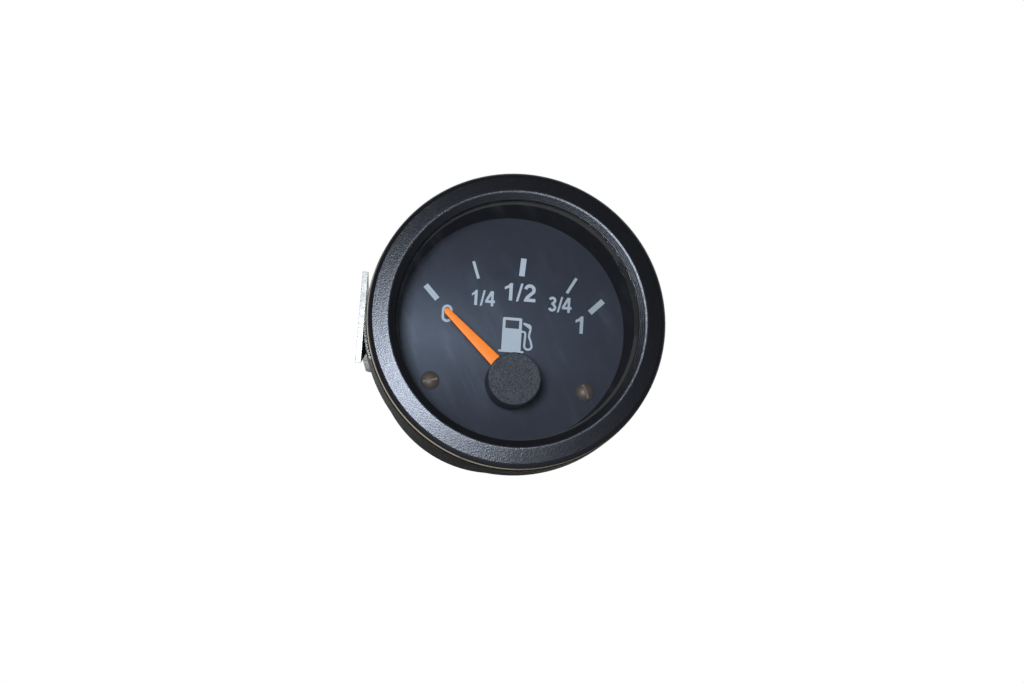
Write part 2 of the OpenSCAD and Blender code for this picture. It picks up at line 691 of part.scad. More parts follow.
module coil_pins() color([0.8, 0.8, 0.8]) at_pivot() for (x = [-pin_u, pin_u], z = [-pin_w, pin_w])
    rod(x, z, pin_r, former_end - 2, board_y + board_t);

module dial_pillars() color([0.7, 0.66, 0.5]) both_sides(screw_x, screw_z) difference() {
    union() {
        rod(0, 0, pillar_r, can_y, board_y);
        rod(0, 0, pillar_r / 2, board_y - small, board_y + board_t + 2.6);
    }
    rod(0, 0, screw_r, can_y - 1, dial_y + screw_len + 0.5);
}

module board_spacers() color([0.7, 0.66, 0.5]) both_sides(screw_x, screw_z) difference() {
    union() {
        rod(0, 0, pillar_r, board_y + board_t, base_y);
        rod(0, 0, pillar_r - 1, base_y - small, base_y + base_t);
    }
    rod(0, 0, pillar_r / 2, board_y + board_t - 1, board_y + board_t + 3);
}

module rear_openings(y0, y1, lamp_r) {
    rod(0, lamp_z, lamp_r, y0 - 1, y1 + 1);
    for (x = spade_xs) bar(x, spade_z, tongue_w + 4 * slot_gap, spade_t + 4 * slot_gap, y0 - 1, y1 + 1);
}

module base_plate() color([0.6, 0.6, 0.62]) difference() {
    rod(0, 0, base_r, base_y, base_y + base_t);
    rear_openings(base_y, base_y + base_t, lamp_plug_r + 0.2);
    both_sides(stud_x, 0) rod(0, 0, stud_r + stud_gap, base_y - 1, base_y + base_t + 1);
    both_sides(screw_x, screw_z) rod(0, 0, pillar_r - 1, base_y - 1, base_y + base_t + 1);
}

// Wire-ended parts on the board: x and z of the middle, body radius and length, and lead radius
resistor_spots = [[-13.5, 4.5], [13.5, 4.5]];
resistor_r = 2.1;
resistor_len = 10;
diode_spot = [-18.2, 2];
diode_r = 1.2;
diode_len = 5;
lead_r = 0.35;
lead_reach = 1.6;

module wire_leads(len, y) for (s = [-1, 1]) {
    end_z = s * (len / 2 + lead_reach);
    translate([0, y, s > 0 ? len / 2 - small : end_z]) cylinder(r = lead_r, h = lead_reach + small);
    rod(0, end_z, lead_r, y - lead_r, board_y + board_t);
}

module circuit_board() color([0.12, 0.35, 0.2]) difference() {
    rod(0, 0, board_r, board_y, board_y + board_t);
    rod(0, lamp_z, lamp_plug_r + 0.6, board_y - 1, board_y + board_t + 1);
    both_sides(screw_x, screw_z) rod(0, 0, pillar_r / 2, board_y - 1, board_y + board_t + 1);
    at_pivot() for (x = [-pin_u, pin_u], z = [-pin_w, pin_w])
        rod(x, z, pin_r, board_y - 1, board_y + board_t + 1);
    for (p = resistor_spots, s = [-1, 1])
        rod(p[0], p[1] + s * (resistor_len / 2 + lead_reach), lead_r, board_y - 1, board_y + board_t + 1);
    for (s = [-1, 1])
        rod(diode_spot[0], diode_spot[1] + s * (diode_len / 2 + lead_reach), lead_r,
            board_y - 1, board_y + board_t + 1);
}

module wired_part(spot, r, len) translate([spot[0], 0, spot[1]]) {
    translate([0, board_y - r, -len / 2]) cylinder(r = r, h = len);
    wire_leads(len, board_y - r);
}
module series_resistors() color([0.5, 0.62, 0.55])
    for (p = resistor_spots) wired_part(p, resistor_r, resistor_len);
module clamp_diode() color([0.15, 0.15, 0.15]) wired_part(diode_spot, diode_r, diode_len);

module spade_terminals() color([0.8, 0.72, 0.45]) for (x = spade_xs) difference() {
    blade_y = rear_y + insulator_t;
    union() {
        bar(x, spade_z, tongue_w, spade_t, board_y + board_t, blade_y + small);
        bar(x, spade_z, spade_w, spade_t, blade_y, blade_y + spade_len - 1);
        translate([x, blade_y + spade_len - 1 - small, spade_z]) linear_extrude(spade_t, center = true)
            polygon([[-spade_w / 2, 0], [spade_w / 2, 0], [spade_w / 2 - spade_chamfer, 1 + small],
                [-spade_w / 2 + spade_chamfer, 1 + small]]);
    }
    translate([x, blade_y + spade_len / 2, spade_z - spade_t]) cylinder(r = spade_hole_r, h = 2 * spade_t);
}

module terminal_insulator() color([0.25, 0.13, 0.08]) difference() {
    bar(0, spade_z, 2 * (spade_pitch + insulator_rim) + spade_w, insulator_h, rear_y, rear_y + insulator_t);
    for (x = spade_xs) bar(x, spade_z, tongue_w + 2 * slot_gap, spade_t + 2 * slot_gap, rear_y - 1,
        rear_y + insulator_t + 1);
}

module lamp_holder() color([0.2, 0.2, 0.2]) translate([0, 0, lamp_z]) difference() {
    union() {
        rod(0, 0, lamp_plug_r, rear_y - plug_len, rear_y + small);
        rod(0, 0, lamp_flange_r, rear_y, rear_y + flange_t);
        rod(0, 0, grip_r, rear_y + flange_t - small, rear_y + flange_t + grip_len);
    }
    rod(0, 0, bulb_base_r, rear_y - plug_len - 1, rear_y - rear_wall);
    for (s = [-1, 1]) bar(s * (grip_flats / 2 + grip_r), 0, 2 * grip_r, 3 * grip_r, rear_y + flange_t,
        rear_y + flange_t + grip_len + 1);
    contact_tabs(1);
}

// The lamp's two contact tabs, as long as they stand out of the grip
module contact_tabs(out) for (s = [-1, 1])
    bar(s * tab_spacing / 2, 0, tab_t, tab_w,
        rear_y + flange_t + tab_seat, rear_y + flange_t + grip_len + out);

module lamp_contacts() color([0.8, 0.72, 0.45]) translate([0, 0, lamp_z]) contact_tabs(tab_len);

module lamp_cap() color([0.78, 0.66, 0.4]) translate([0, 0, lamp_z]) difference() {
    rod(0, 0, bulb_base_r, rear_y - rear_wall - bulb_base_len, rear_y - rear_wall);
    rod(0, 0, bulb_base_r - 0.5, rear_y - rear_wall - bulb_base_len - 1, rear_y - rear_wall - bulb_floor);
}

// The bulb's glass: a thin closed envelope with a round nose
module lamp_bulb() color([0.9, 0.95, 1, 0.4]) translate([0, 0, lamp_z]) {
    seat = rear_y - rear_wall - bulb_base_len;
    inner = bulb_r - 0.5;
    nose = [0, seat - bulb_len + bulb_r];
    turned() polygon(concat([[0, seat], [0, seat - 0.6], [inner, seat - 0.6], [inner, nose[1]]],
        arc(nose, inner, 0, -90, 8), arc(nose, bulb_r, -90, 0, 8), [[bulb_r, seat]]));
}

module lamp_filament() color([0.6, 0.6, 0.6]) translate([0, 0, lamp_z]) {
    foot = rear_y - rear_wall - bulb_base_len - 0.6;
    for (s = [-1, 1]) rod(s * 1.2, 0, 0.15, foot - 4, foot);
    translate([-1.2, foot - 4, 0]) rotate([0, 90, 0]) cylinder(r = 0.2, h = 2.4);
}

module mounting_studs() color([0.78, 0.78, 0.76]) both_sides(stud_x, 0) {
    rod(0, 0, stud_head_r, base_y - 2.4, base_y);
    chamfer = 0.4;
    rod(0, 0, stud_r, base_y - small, rear_y + stud_len - chamfer);
    translate([0, rear_y + stud_len - chamfer, 0]) rotate([-90, 0, 0])
        cylinder(r1 = stud_r, r2 = stud_r - chamfer, h = chamfer);
}

module stud_washers() color([0.78, 0.78, 0.76]) both_sides(stud_x, 0)
    tube(0, 0, 2.1 * stud_r, stud_r + stud_gap, rear_y, rear_y + washer_t);

module stud_nuts() color([0.8, 0.8, 0.78]) both_sides(stud_x, 0) difference() {
    slab(rear_y + washer_t, rear_y + washer_t + thin_nut_t) circle(2.02 * stud_r, $fn = 6);
    rod(0, 0, stud_r + stud_gap, rear_y, rear_y + 2 * thin_nut_t);
}

// One leg's line from its foot round the bend, at a distance t from the bracket's inner face
function leg(splay, t, n) = let (bend = [leg_rear_x - bend_r, strap_y - bend_r])
    concat([[leg_rear_x + splay + t, foot_gap]],
        arc(bend, bend_r + t, atan(splay / (bend[1] - foot_gap)), 90, n));

// The bracket bends round the case: splayed legs, wider at the feet, and a flat cross-piece
module clamp_bracket() color([0.82, 0.85, 0.85]) difference() {
    rear = strap_y + clamp_t;
    rotate([0, bracket_turn, 0]) intersection() {
        translate([0, 0, -foot_w / 2]) linear_extrude(foot_w)
            polygon(concat(leg(right_splay, clamp_t, 8), mirrored(backward(leg(foot_splay, clamp_t, 8))),
                mirrored(leg(foot_splay, 0, 6)), backward(leg(right_splay, 0, 6))));
        rotate([90, 0, 90]) linear_extrude(2 * foot_x + 4 * clamp_t, center = true)
            polygon([[foot_gap, -foot_w / 2], [foot_gap + foot_taper, -strap_w / 2], [rear, -strap_w / 2],
                [rear, strap_w / 2], [foot_gap + foot_taper, strap_w / 2], [foot_gap, foot_w / 2]]);
    }
    both_sides(stud_x, 0) rod(0, 0, stud_r + 0.25, strap_y - 1, rear + 1);
}

module spring_washers() color([0.7, 0.7, 0.7]) both_sides(stud_x, 0) difference() {
    tube(0, 0, 1.85 * stud_r, stud_r + 3 * stud_gap, strap_y + clamp_t, knurl_y);
    rotate([0, 20, 0]) bar(1.4 * stud_r, 0, stud_r + 0.6, 0.5, strap_y, knurl_y + 1);
}

module knurled_nut(x) color([0.83, 0.84, 0.82]) translate([x, 0, 0]) difference() {
    union() {
        slab(knurl_y + 0.5, knurl_y + knurl_len - 0.5) polygon([for (i = [0:2 * knurl_count - 1])
            (knurl_r - (i % 2) * knurl_depth) * [cos(180 * i / knurl_count), sin(180 * i / knurl_count)]]);
        rod(0, 0, knurl_r - knurl_depth - 0.2, knurl_y, knurl_y + knurl_len);
    }
    rod(0, 0, stud_r + stud_gap, knurl_y - 1, knurl_y + knurl_len + 1);
}
module knurled_nut_left() knurled_nut(-stud_x);
module knurled_nut_right() knurled_nut(stud_x);

bezel_ring();
lens_glass();
lens_gasket();
shade_ring();
case_body();
panel_seal();
dial_plate();
scale_marks();
scale_numerals();
pump_symbol();
dial_screws();
pointer();
pointer_cap();
spindle();
rotor_magnet();
carrier_plate();
light_guide();
front_bushing();
rear_bushing();
shield_can();
coil_former_front();
coil_former_rear();
coil_inner();
coil_outer();
return_magnet();
coil_pins();
dial_pillars();
board_spacers();
base_plate();
circuit_board();
series_resistors();
clamp_diode();
spade_terminals();
terminal_insulator();
lamp_holder();
lamp_contacts();
lamp_cap();
lamp_bulb();
lamp_filament();
mounting_studs();
stud_washers();
stud_nuts();
clamp_bracket();
spring_washers();
knurled_nut_left();
knurled_nut_right();
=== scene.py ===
"""Gives a packed fuel gauge its finishes and fine shapes, and sets it in soft studio light."""

import bmesh
import bpy
import numpy as np
from bpy.props import FloatProperty, FloatVectorProperty, IntProperty, PointerProperty
from math import radians
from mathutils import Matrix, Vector


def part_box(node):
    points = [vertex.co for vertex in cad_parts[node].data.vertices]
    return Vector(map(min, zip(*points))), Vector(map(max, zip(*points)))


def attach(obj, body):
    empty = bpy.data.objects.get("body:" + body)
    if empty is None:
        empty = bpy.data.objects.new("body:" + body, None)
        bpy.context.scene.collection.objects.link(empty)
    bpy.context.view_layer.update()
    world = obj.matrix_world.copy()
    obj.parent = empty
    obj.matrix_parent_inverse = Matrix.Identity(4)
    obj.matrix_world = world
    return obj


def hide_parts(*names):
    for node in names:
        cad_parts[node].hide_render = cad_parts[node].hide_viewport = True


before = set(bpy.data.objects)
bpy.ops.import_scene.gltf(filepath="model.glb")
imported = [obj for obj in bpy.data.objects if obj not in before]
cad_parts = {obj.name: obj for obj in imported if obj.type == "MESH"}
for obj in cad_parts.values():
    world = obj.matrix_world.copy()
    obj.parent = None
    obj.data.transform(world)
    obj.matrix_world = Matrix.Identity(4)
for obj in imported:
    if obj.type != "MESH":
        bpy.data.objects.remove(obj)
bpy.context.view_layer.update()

bl_info = {
    "name": "Fuel gauge finisher",
    "version": (1, 0, 0),
    "blender": (4, 5, 0),
    "location": "3D View > Sidebar > Fuel gauge",
    "description": "Adds the fuel gauge's finishes, fine shapes, lights and camera",
    "category": "Object",
}

MM = 0.001
TURN = 2 * np.pi
MERGE = 0.0005 * MM


def middle(lo, hi):
    """The x and z of a box's middle."""
    return (lo.x + hi.x) / 2, (lo.z + hi.z) / 2


def size_prop(name, text, default, smallest=0.0):
    """A length in metres that the user can change."""
    return FloatProperty(name=name, description=text, default=default, min=smallest, unit="LENGTH",
                         precision=5)


def colour_prop(name, text, default):
    """A colour that the user can change."""
    return FloatVectorProperty(name=name, description=text, default=default, min=0.0, max=1.0,
                               subtype="COLOR")


# Settings

class RingSettings(bpy.types.PropertyGroup):
    """Sizes of the front ring that the CAD box doesn't give."""
    lip_radius: size_prop("Lip radius", "Radius of the lip at the face's inner edge", 26.1 * MM)
    bead_step: size_prop("Bead step", "Distance from the turned edge out to the bead", 0.2 * MM)
    lip_round: size_prop("Lip rounding", "Rounding of the lip's crest", 0.9 * MM)
    window_radius: size_prop("Window radius", "Radius of the opening over the glass", 24.45 * MM)
    window_drop: size_prop("Window drop", "Drop from the lip to the window's edge", 0.85 * MM)
    ridges: IntProperty(name="Ridges", description="Fine ridges between lip and window",
                        default=4, min=1)
    ridge_height: size_prop("Ridge height", "Height of each fine ridge", 0.018 * MM)
    face_radius: size_prop("Face radius", "Radius at which the face turns down", 29.1 * MM)
    face_drop: size_prop("Face drop", "Drop of the face towards its outer edge", 0.6 * MM)
    edge_drop: size_prop("Edge drop", "Depth of the rounded outer edge", 0.65 * MM)
    flange: size_prop("Flange", "Thickness of the ring over the glass", 1.2 * MM)
    skirt_wall: size_prop("Skirt wall", "Wall of the ring's skirt", 0.7 * MM)
    bead: size_prop("Bead", "Section radius of the rolled bead", 0.6 * MM)


class PointerSettings(bpy.types.PropertyGroup):
    """Sizes of the pointer and its cap."""
    rest_angle: FloatProperty(name="Rest angle", description="Lean of the pointer at rest",
                              default=radians(47.8), subtype="ANGLE")
    length: size_prop("Length", "Length from the spindle to the tip", 19.9 * MM)
    base_width: size_prop("Base width", "Width at the cap", 3.1 * MM)
    tip_width: size_prop("Tip width", "Width near the tip", 1.25 * MM)
    thickness: size_prop("Thickness", "Thickness of the blade", 0.8 * MM)
    crown: size_prop("Crown", "Rise of the blade's middle over its edges", 0.06 * MM)
    cap_round: size_prop("Cap rounding", "Rounding of the cap's front edge", 0.35 * MM)
    cap_dish: size_prop("Cap dish", "Hollow of the cap's face", 0.08 * MM)


class FastenerSettings(bpy.types.PropertyGroup):
    """Sizes of studs and nuts."""
    pitch: size_prop("Pitch", "Thread pitch of the studs", 0.7 * MM, 0.1 * MM)
    thread_depth: size_prop("Thread depth", "Depth of the studs' thread", 0.38 * MM)
    knurl_ridges: IntProperty(name="Knurl ridges", description="Ridges round a knurled nut",
                              default=36, min=8)
    knurl_depth: size_prop("Knurl depth", "Depth of the knurl", 0.32 * MM)
    chamfer: size_prop("Chamfer", "Chamfer at the ends of nuts", 0.5 * MM)
    edge: size_prop("Edge rounding", "Rounding of sheet and moulded edges", 0.12 * MM)


class FinishSettings(bpy.types.PropertyGroup):
    """Colours of the finishes."""
    ring_black: colour_prop("Ring", "Satin black of the front ring", (0.003, 0.0032, 0.0045))
    moulded_black: colour_prop("Moulding", "Black of the moulded case", (0.01, 0.01, 0.012))
    dial: colour_prop("Dial", "Dark blue-grey of the dial", (0.012, 0.0155, 0.028))
    ink: colour_prop("Ink", "Pale ink of the scale", (0.44, 0.53, 0.645))
    pointer: colour_prop("Pointer", "Bright orange of the pointer", (1.0, 0.24, 0.012))
    cap: colour_prop("Cap", "Grained black of the pointer's cap", (0.018, 0.023, 0.033))
    screw: colour_prop("Screws", "Blackened steel of the dial screws", (0.1, 0.082, 0.075))
    zinc: colour_prop("Zinc", "Zinc plate of the bracket and studs", (0.54, 0.58, 0.6))
    brass: colour_prop("Brass", "Brass of nuts and terminals", (0.72, 0.48, 0.18))
    copper: colour_prop("Copper", "Enamelled copper of the windings", (0.55, 0.17, 0.06))


class StageSettings(bpy.types.PropertyGroup):
    """Camera, softbox, even light and floor."""
    camera_at: FloatVectorProperty(name="Camera", description="Place of the camera", unit="LENGTH",
                                   default=(-0.0417, -0.4037, -0.075))
    camera_turn: FloatVectorProperty(
        name="Camera turn", description="Turn of the camera", subtype="EULER",
        default=(radians(100.146), radians(-3.321), radians(-6.537)))
    lens: FloatProperty(name="Lens", description="Focal length in millimetres", default=70.59)
    softbox_at: FloatVectorProperty(name="Softbox", description="Place of the softbox",
                                    unit="LENGTH", default=(-0.146, -0.585, -0.027))
    softbox_size: size_prop("Softbox size", "Side of the softbox", 0.14)
    softbox_power: FloatProperty(name="Softbox power", description="Power of the softbox in watts",
                                 default=3.55)
    sky: FloatProperty(name="Sky", description="Strength of the light from the sides and behind",
                       default=1.0)
    room: FloatProperty(name="Room", description="Strength of the dimmer light from the front",
                        default=0.05)
    floor_drop: size_prop("Floor drop", "Distance of the floor below the gauge's axis", 0.3)
    floor_size: size_prop("Floor size", "Side of the floor", 6.0)


SETTINGS = {"gauge_ring": RingSettings, "gauge_pointer": PointerSettings,
            "gauge_fasteners": FastenerSettings, "gauge_finish": FinishSettings,
            "gauge_stage": StageSettings}


# Shader maths

class Value:
    """A number in a shader. An expression on it adds the Math nodes that work it out."""

    def __init__(self, graph, socket):
        self.graph = graph
        self.socket = socket

    def math(self, operation, *terms):
        """The result of one Math node on its terms."""
        return self.graph.node("ShaderNodeMath", {"operation": operation}, dict(enumerate(terms)))

    def __add__(self, other):
        return self.math("ADD", self, other)

    def __sub__(self, other):
        return self.math("SUBTRACT", self, other)

    def __mul__(self, other):
        return self.math("MULTIPLY", self, other)

    def __truediv__(self, other):
        return self.math("DIVIDE", self, other)

    def __pow__(self, other):
        return self.math("POWER", self, other)

    def __rsub__(self, other):
        return self.math("SUBTRACT", other, self)

    def __rtruediv__(self, other):
        return self.math("DIVIDE", other, self)

    __radd__ = __add__
    __rmul__ = __mul__

    def most(self, other):
        """The larger of the two."""
        return self.math("MAXIMUM", self, other)

    def least(self, other):
        """The smaller of the two."""
        return self.math("MINIMUM", self, other)

    def between(self, start, end):
        """A smooth step from 0 at start to 1 at end."""
        return self.graph.node("ShaderNodeMapRange", {"interpolation_type": "SMOOTHSTEP"},
                               {"Value": self, "From Min": start, "From Max": end})


class Graph:
    """A node tree that is being put together."""

    def __init__(self, tree, output):
        self.tree = tree
        self.tree.nodes.clear()
        self.output = self.tree.nodes.new(output)

    def join(self, source, target):
        """Links a socket or sets its number or colour."""
        if isinstance(source, Value):
            source = source.socket
        if isinstance(source, bpy.types.NodeSocket):
            self.tree.links.new(source, target)
        elif target.type == "RGBA":
            target.default_value = (*source, 1.0)
        else:
            target.default_value = source

    def node(self, kind, settings=None, sockets=None, out=0):
        """Adds a node, sets it up, joins its sockets and returns the wanted output as a value."""
        made = self.tree.nodes.new(kind)
        for key, value in (settings or {}).items():
            setattr(made, key, value)
        for key, value in (sockets or {}).items():
            self.join(value, made.inputs[key])
        return Value(self, made.outputs[out])

    def show(self, shader):
        """Joins a shader to the output."""
        self.join(shader, self.output.inputs[0])


class Finish(Graph):
    """A material that is being put together round one Principled shader."""

    def __init__(self, name):
        self.material = bpy.data.materials.new(name)
        self.material.use_nodes = True
        super().__init__(self.material.node_tree, "ShaderNodeOutputMaterial")
        self.shader = self.tree.nodes.new("ShaderNodeBsdfPrincipled")
        self.show(self.shader.outputs[0])
        self.place_mm = self.node("ShaderNodeVectorMath", {"operation": "SCALE"},
                                  {0: self.node("ShaderNodeTexCoord", out="Object"),
                                   "Scale": 1 / MM})

    def axis(self, letter):
        """One object coordinate in millimetres."""
        return self.node("ShaderNodeSeparateXYZ", {}, {0: self.place_mm}, "XYZ".index(letter))

    def stretched(self, x, y, z):
        """Object coordinates in millimetres, scaled along each axis."""
        return self.node("ShaderNodeVectorMath", {"operation": "MULTIPLY"},
                         {0: self.place_mm, 1: (x, y, z)})

    def slanted(self, degrees, length, place=None):
        """Coordinates turned about Y and drawn out, for marks that slant across the front."""
        return self.node("ShaderNodeMapping", {"vector_type": "TEXTURE"},
                         {"Vector": place or self.place_mm, "Scale": (length, 1.0, 1.0),
                          "Rotation": (0.0, radians(degrees), 0.0)})

    def noise(self, scale, detail=3.0, rough=0.5, place=None):
        """Soft noise from 0 to 1, with scale in features per millimetre."""
        return self.node("ShaderNodeTexNoise", {"noise_dimensions": "3D"},
                         {"Vector": place or self.place_mm, "Scale": scale, "Detail": detail,
                          "Roughness": rough})

    def cells(self, scale, place=None, feature="F1"):
        """Distance to the nearest of scattered points, with scale in points per millimetre."""
        return self.node("ShaderNodeTexVoronoi", {"feature": feature},
                         {"Vector": place or self.place_mm, "Scale": scale})

    def specks(self, scale, radius, place=None):
        """1 in small round specks and 0 elsewhere."""
        return 1 - self.cells(scale, place).between(radius * 0.6, radius)

    def bands(self, across, scale, **others):
        """Even waves from 0 to 1 along one axis."""
        return self.node("ShaderNodeTexWave", {"bands_direction": across},
                         {"Vector": self.place_mm, "Scale": scale, **others}, "Fac")

    def mix(self, amount, first, second):
        """Blends two colours."""
        return self.node("ShaderNodeMix", {"data_type": "RGBA"},
                         {0: amount, 6: first, 7: second}, 2)

    def bump(self, height, depth):
        """Presses a pattern of heights from 0 to 1, depth in millimetres, into the surface."""
        normal = self.node("ShaderNodeBump", {}, {"Height": height, "Distance": depth * MM})
        self.join(normal, self.shader.inputs["Normal"])

    def see_through(self, soil, tone):
        """Leaves only soil and a shine, which grows with the fifth power of the view's slant."""
        head_on, thinnest = 0.04, 0.05
        edge_on = self.node("ShaderNodeLayerWeight", {}, {"Blend": 0.5}, "Facing")
        shine = edge_on ** 5 * (1 - head_on) + head_on
        through = self.node("ShaderNodeBsdfTransparent", {}, {"Color": tone})
        shown = (shine * 0.9 + soil).least(1.0)
        self.set(Metallic=thinnest / (soil + thinnest))
        self.show(self.node("ShaderNodeMixShader", {},
                            {0: shown, 1: through, 2: self.shader.outputs[0]}))

    def set(self, **sockets):
        """Sets the Principled shader's sockets, named with underscores for spaces."""
        for key, value in sockets.items():
            self.join(value, self.shader.inputs[key.replace("_", " ")])
        return self


def tint(colour, factor):
    """A colour made lighter or darker."""
    return tuple(min(1.0, c * factor) for c in colour)


# Finishes

def satin_black(name, colour, outer, groove_y, bead_y):
    """Stove paint on steel: speckled grain, dust, and a pale yellow band on the rolled bead,
    partly plate bared by wear and partly a painted highlight.

    The bead is where the radius nears outer, between groove_y and bead_y, all in millimetres.
    """
    f = Finish(name)
    grey_dust, pale_highlight_plate, blue_gloss = (0.3, 0.3, 0.3), (0.62, 0.54, 0.4), (0.74, 0.83, 1.0)
    patches = f.noise(0.16, 4.0, 0.6)
    grain = f.noise(3.0, 3.0, 0.75)
    dust = f.specks(0.45, 0.05) * f.noise(0.5, 2.0).between(0.45, 0.6)
    x, z = f.axis("X"), f.axis("Z")
    radius = (x * x + z * z) ** 0.5
    depth = f.axis("Y")
    front = depth.between(groove_y + 0.1, groove_y + 0.25) * depth.between(bead_y, bead_y - 0.2)
    # Pale yellow on the bead's front: partly bared plate and partly a painted highlight of the
    # bead.
    bare_plate_and_highlight = radius.between(outer - 0.3, outer - 0.2) * front * f.noise(0.7, 3.0).between(0.2, 0.4)
    paint = f.mix(dust * 0.25, f.mix(patches * 0.4, colour, tint(colour, 1.8)), grey_dust)
    f.set(Base_Color=f.mix(bare_plate_and_highlight, paint, pale_highlight_plate), Metallic=bare_plate_and_highlight * 0.3,
          Roughness=0.31 + (patches - 0.5) * 0.04 + (grain - 0.5) * 0.1 + dust * 0.2,
          Specular_IOR_Level=1.0, Specular_Tint=blue_gloss)
    f.bump(grain, 0.05)
    return f.material


def moulded_plastic(name, colour, roughness=0.5, grain=7.0, gloss=0.5):
    """Injection-moulded plastic: fine spark-eroded grain and a little unevenness of gloss."""
    f = Finish(name)
    fine = f.cells(grain)
    broad = f.noise(0.22, 3.0)
    f.set(Base_Color=f.mix(broad * 0.5, colour, tint(colour, 1.5)),
          Roughness=roughness + (broad - 0.5) * 0.12 + (fine - 0.5) * 0.1,
          Specular_IOR_Level=gloss)
    f.bump(fine, 0.018)
    return f.material


def dial_paint(name, colour):
    """Matt dark paint with a painted sheen of light, pale at the left edge and thinning out, and
    with scuffs, clouds and dust.

    The bloom, a painted sheen, is 1 over the square of 1 plus the squared distance from its middle
    at the left.
    """
    f = Finish(name)
    sheen_blue, pale_dust = (0.11, 0.14, 0.2), (0.3, 0.33, 0.38)
    away = ((f.axis("X") + 20.0) / 29.0) ** 2 + ((f.axis("Z") + 2.5) / 14.0) ** 2
    clouds = f.noise(0.12, 4.0, 0.6)
    # The bloom is a painted sheen of light: the dial is painted paler at the left and thins out
    # towards the right.
    bloom = 1 / ((away + 1) ** 2) * (0.75 + clouds * 0.5)
    wipes = f.noise(0.42, 3.0, 0.6, f.slanted(66, 7.0)).between(0.5, 0.75)
    scuffs = f.noise(1.6, 3.0, 0.65, f.stretched(0.25, 1.0, 1.0)).between(0.62, 0.78)
    dust = f.specks(0.7, 0.045).most(f.specks(1.7, 0.07) * f.noise(0.3, 2.0).between(0.5, 0.62))
    marks = (scuffs * 0.3 + wipes * 0.35).least(1.0)
    toned = f.mix(marks * 0.45, colour, tint(colour, 1.9))
    cloudy = f.mix(clouds.between(0.35, 0.7) * 0.6, toned, tint(colour, 1.4))
    sheened = f.mix(bloom * (0.85 + wipes * 0.3), cloudy, sheen_blue)
    f.set(Base_Color=f.mix(dust * 0.3, sheened, pale_dust),
          Roughness=0.72 - marks * 0.12 + dust * 0.2, Specular_IOR_Level=0.2)
    f.bump(f.noise(5.0, 2.0) * 0.6 + marks * 0.4, 0.006)
    return f.material


def printed_ink(name, colour):
    """Screen-printed ink: darker towards the right as painted shade, with tiny thin spots and a
    matt surface.
    """
    f = Finish(name)
    thin = f.noise(4.5, 4.0, 0.7)
    # Painted shade: the ink is darkened towards the right, where less light falls.
    toned = f.axis("X").between(2.0, 17.0) * 0.65
    f.set(Base_Color=f.mix(toned.most(thin.between(0.5, 0.8) * 0.35), colour, tint(colour, 0.6)),
          Roughness=0.6 + (thin - 0.5) * 0.2, Specular_IOR_Level=0.3)
    f.bump(thin, 0.01)
    return f.material


def bright_orange(name, colour):
    """Fluorescent orange plastic with painted shade in dark red on its flanks, where the attribute
    named flank is 1, and a faint painted glow.
    """
    f = Finish(name)
    paler_orange, flank_shade_red = (1.0, 0.33, 0.04), (0.13, 0.012, 0.002)
    flank = f.node("ShaderNodeAttribute", {"attribute_name": "flank"}, {}, "Fac")
    mottle = f.noise(1.2, 3.0)
    face = f.mix(mottle.between(0.4, 0.75) * 0.5, colour, paler_orange)
    # Painted shade: the blade's flanks are painted dark red as its sides in shade.
    both = f.mix(flank, face, flank_shade_red)
    # The emission is a painted glow standing in for the orange's fluorescence.
    f.set(Base_Color=both, Emission_Color=both, Emission_Strength=0.1,
          Roughness=0.5 + (mottle - 0.5) * 0.15, Specular_IOR_Level=0.3)
    f.bump(f.noise(3.5, 2.0), 0.01)
    return f.material


def grained_cap_finish(colour):
    """Black plastic with a fine pebbled grain, painted paler on the grain's crests than in its
    pits: painted sheen and painted shade.
    """
    f = Finish("grained_cap")
    pebbles = f.cells(4.4, feature="SMOOTH_F1")
    fine = f.noise(8.0, 3.0)
    # Painted sheen and shade: the grain's crests are painted paler and its pits darker.
    grain_tops_sheen = (pebbles * 0.9 + fine * 0.5).between(0.35, 0.85)
    f.set(Base_Color=f.mix(grain_tops_sheen, tint(colour, 2.9), tint(colour, 0.8)),
          Roughness=0.52 + grain_tops_sheen * 0.12, Specular_IOR_Level=0.4)
    f.bump(pebbles * 0.8 + fine * 0.35, -0.11)
    return f.material


def plated_metal(name, colour, roughness=0.3, streak=(0.2, 0.2, 3.0), stain=(0.5, 0.45, 0.4),
                 metallic=1.0):
    """Plated sheet metal: long rolling streaks, cloudy passivation and small duller spots."""
    f = Finish(name)
    lines = f.noise(2.2, 4.0, 0.7, f.stretched(*streak))
    clouds = f.noise(0.14, 4.0, 0.6)
    spots = f.specks(0.8, 0.12) * clouds.between(0.45, 0.6)
    f.set(Metallic=metallic,
          Base_Color=f.mix(spots * 0.5 + clouds.between(0.45, 0.8) * 0.25, colour, stain),
          Roughness=roughness + (lines - 0.5) * 0.18 + (clouds - 0.5) * 0.16 + spots * 0.15)
    f.bump(lines, 0.006)
    return f.material


def soft_rubber(name):
    """Black rubber with a dry bloom and a faint grain."""
    f = Finish(name)
    colour = (0.016, 0.016, 0.017)
    bloom = f.noise(0.35, 4.0, 0.65)
    grain = f.noise(6.0, 2.0)
    f.set(Base_Color=f.mix(bloom.between(0.5, 0.8) * 0.5, colour, tint(colour, 2.6)),
          Roughness=0.74 + (bloom - 0.5) * 0.15)
    f.bump(grain, 0.02)
    return f.material


def clear_plate(name, tone, haze):
    """Clear glass or plastic: see-through, with an uneven haze and dust."""
    f = Finish(name)
    smear = f.noise(0.18, 4.0, 0.65)
    flat = f.stretched(1.0, 0.0, 1.0)
    dust = f.specks(0.22, 0.03, flat) * f.noise(0.13, 2.0, 0.5, flat).between(0.5, 0.56)
    soil = smear.between(0.5, 0.85) * haze + dust * 0.3
    f.set(Base_Color=(0.55, 0.69, 0.95), Roughness=0.06 + smear * 0.05 + soil)
    f.see_through(soil, tone)
    return f.material


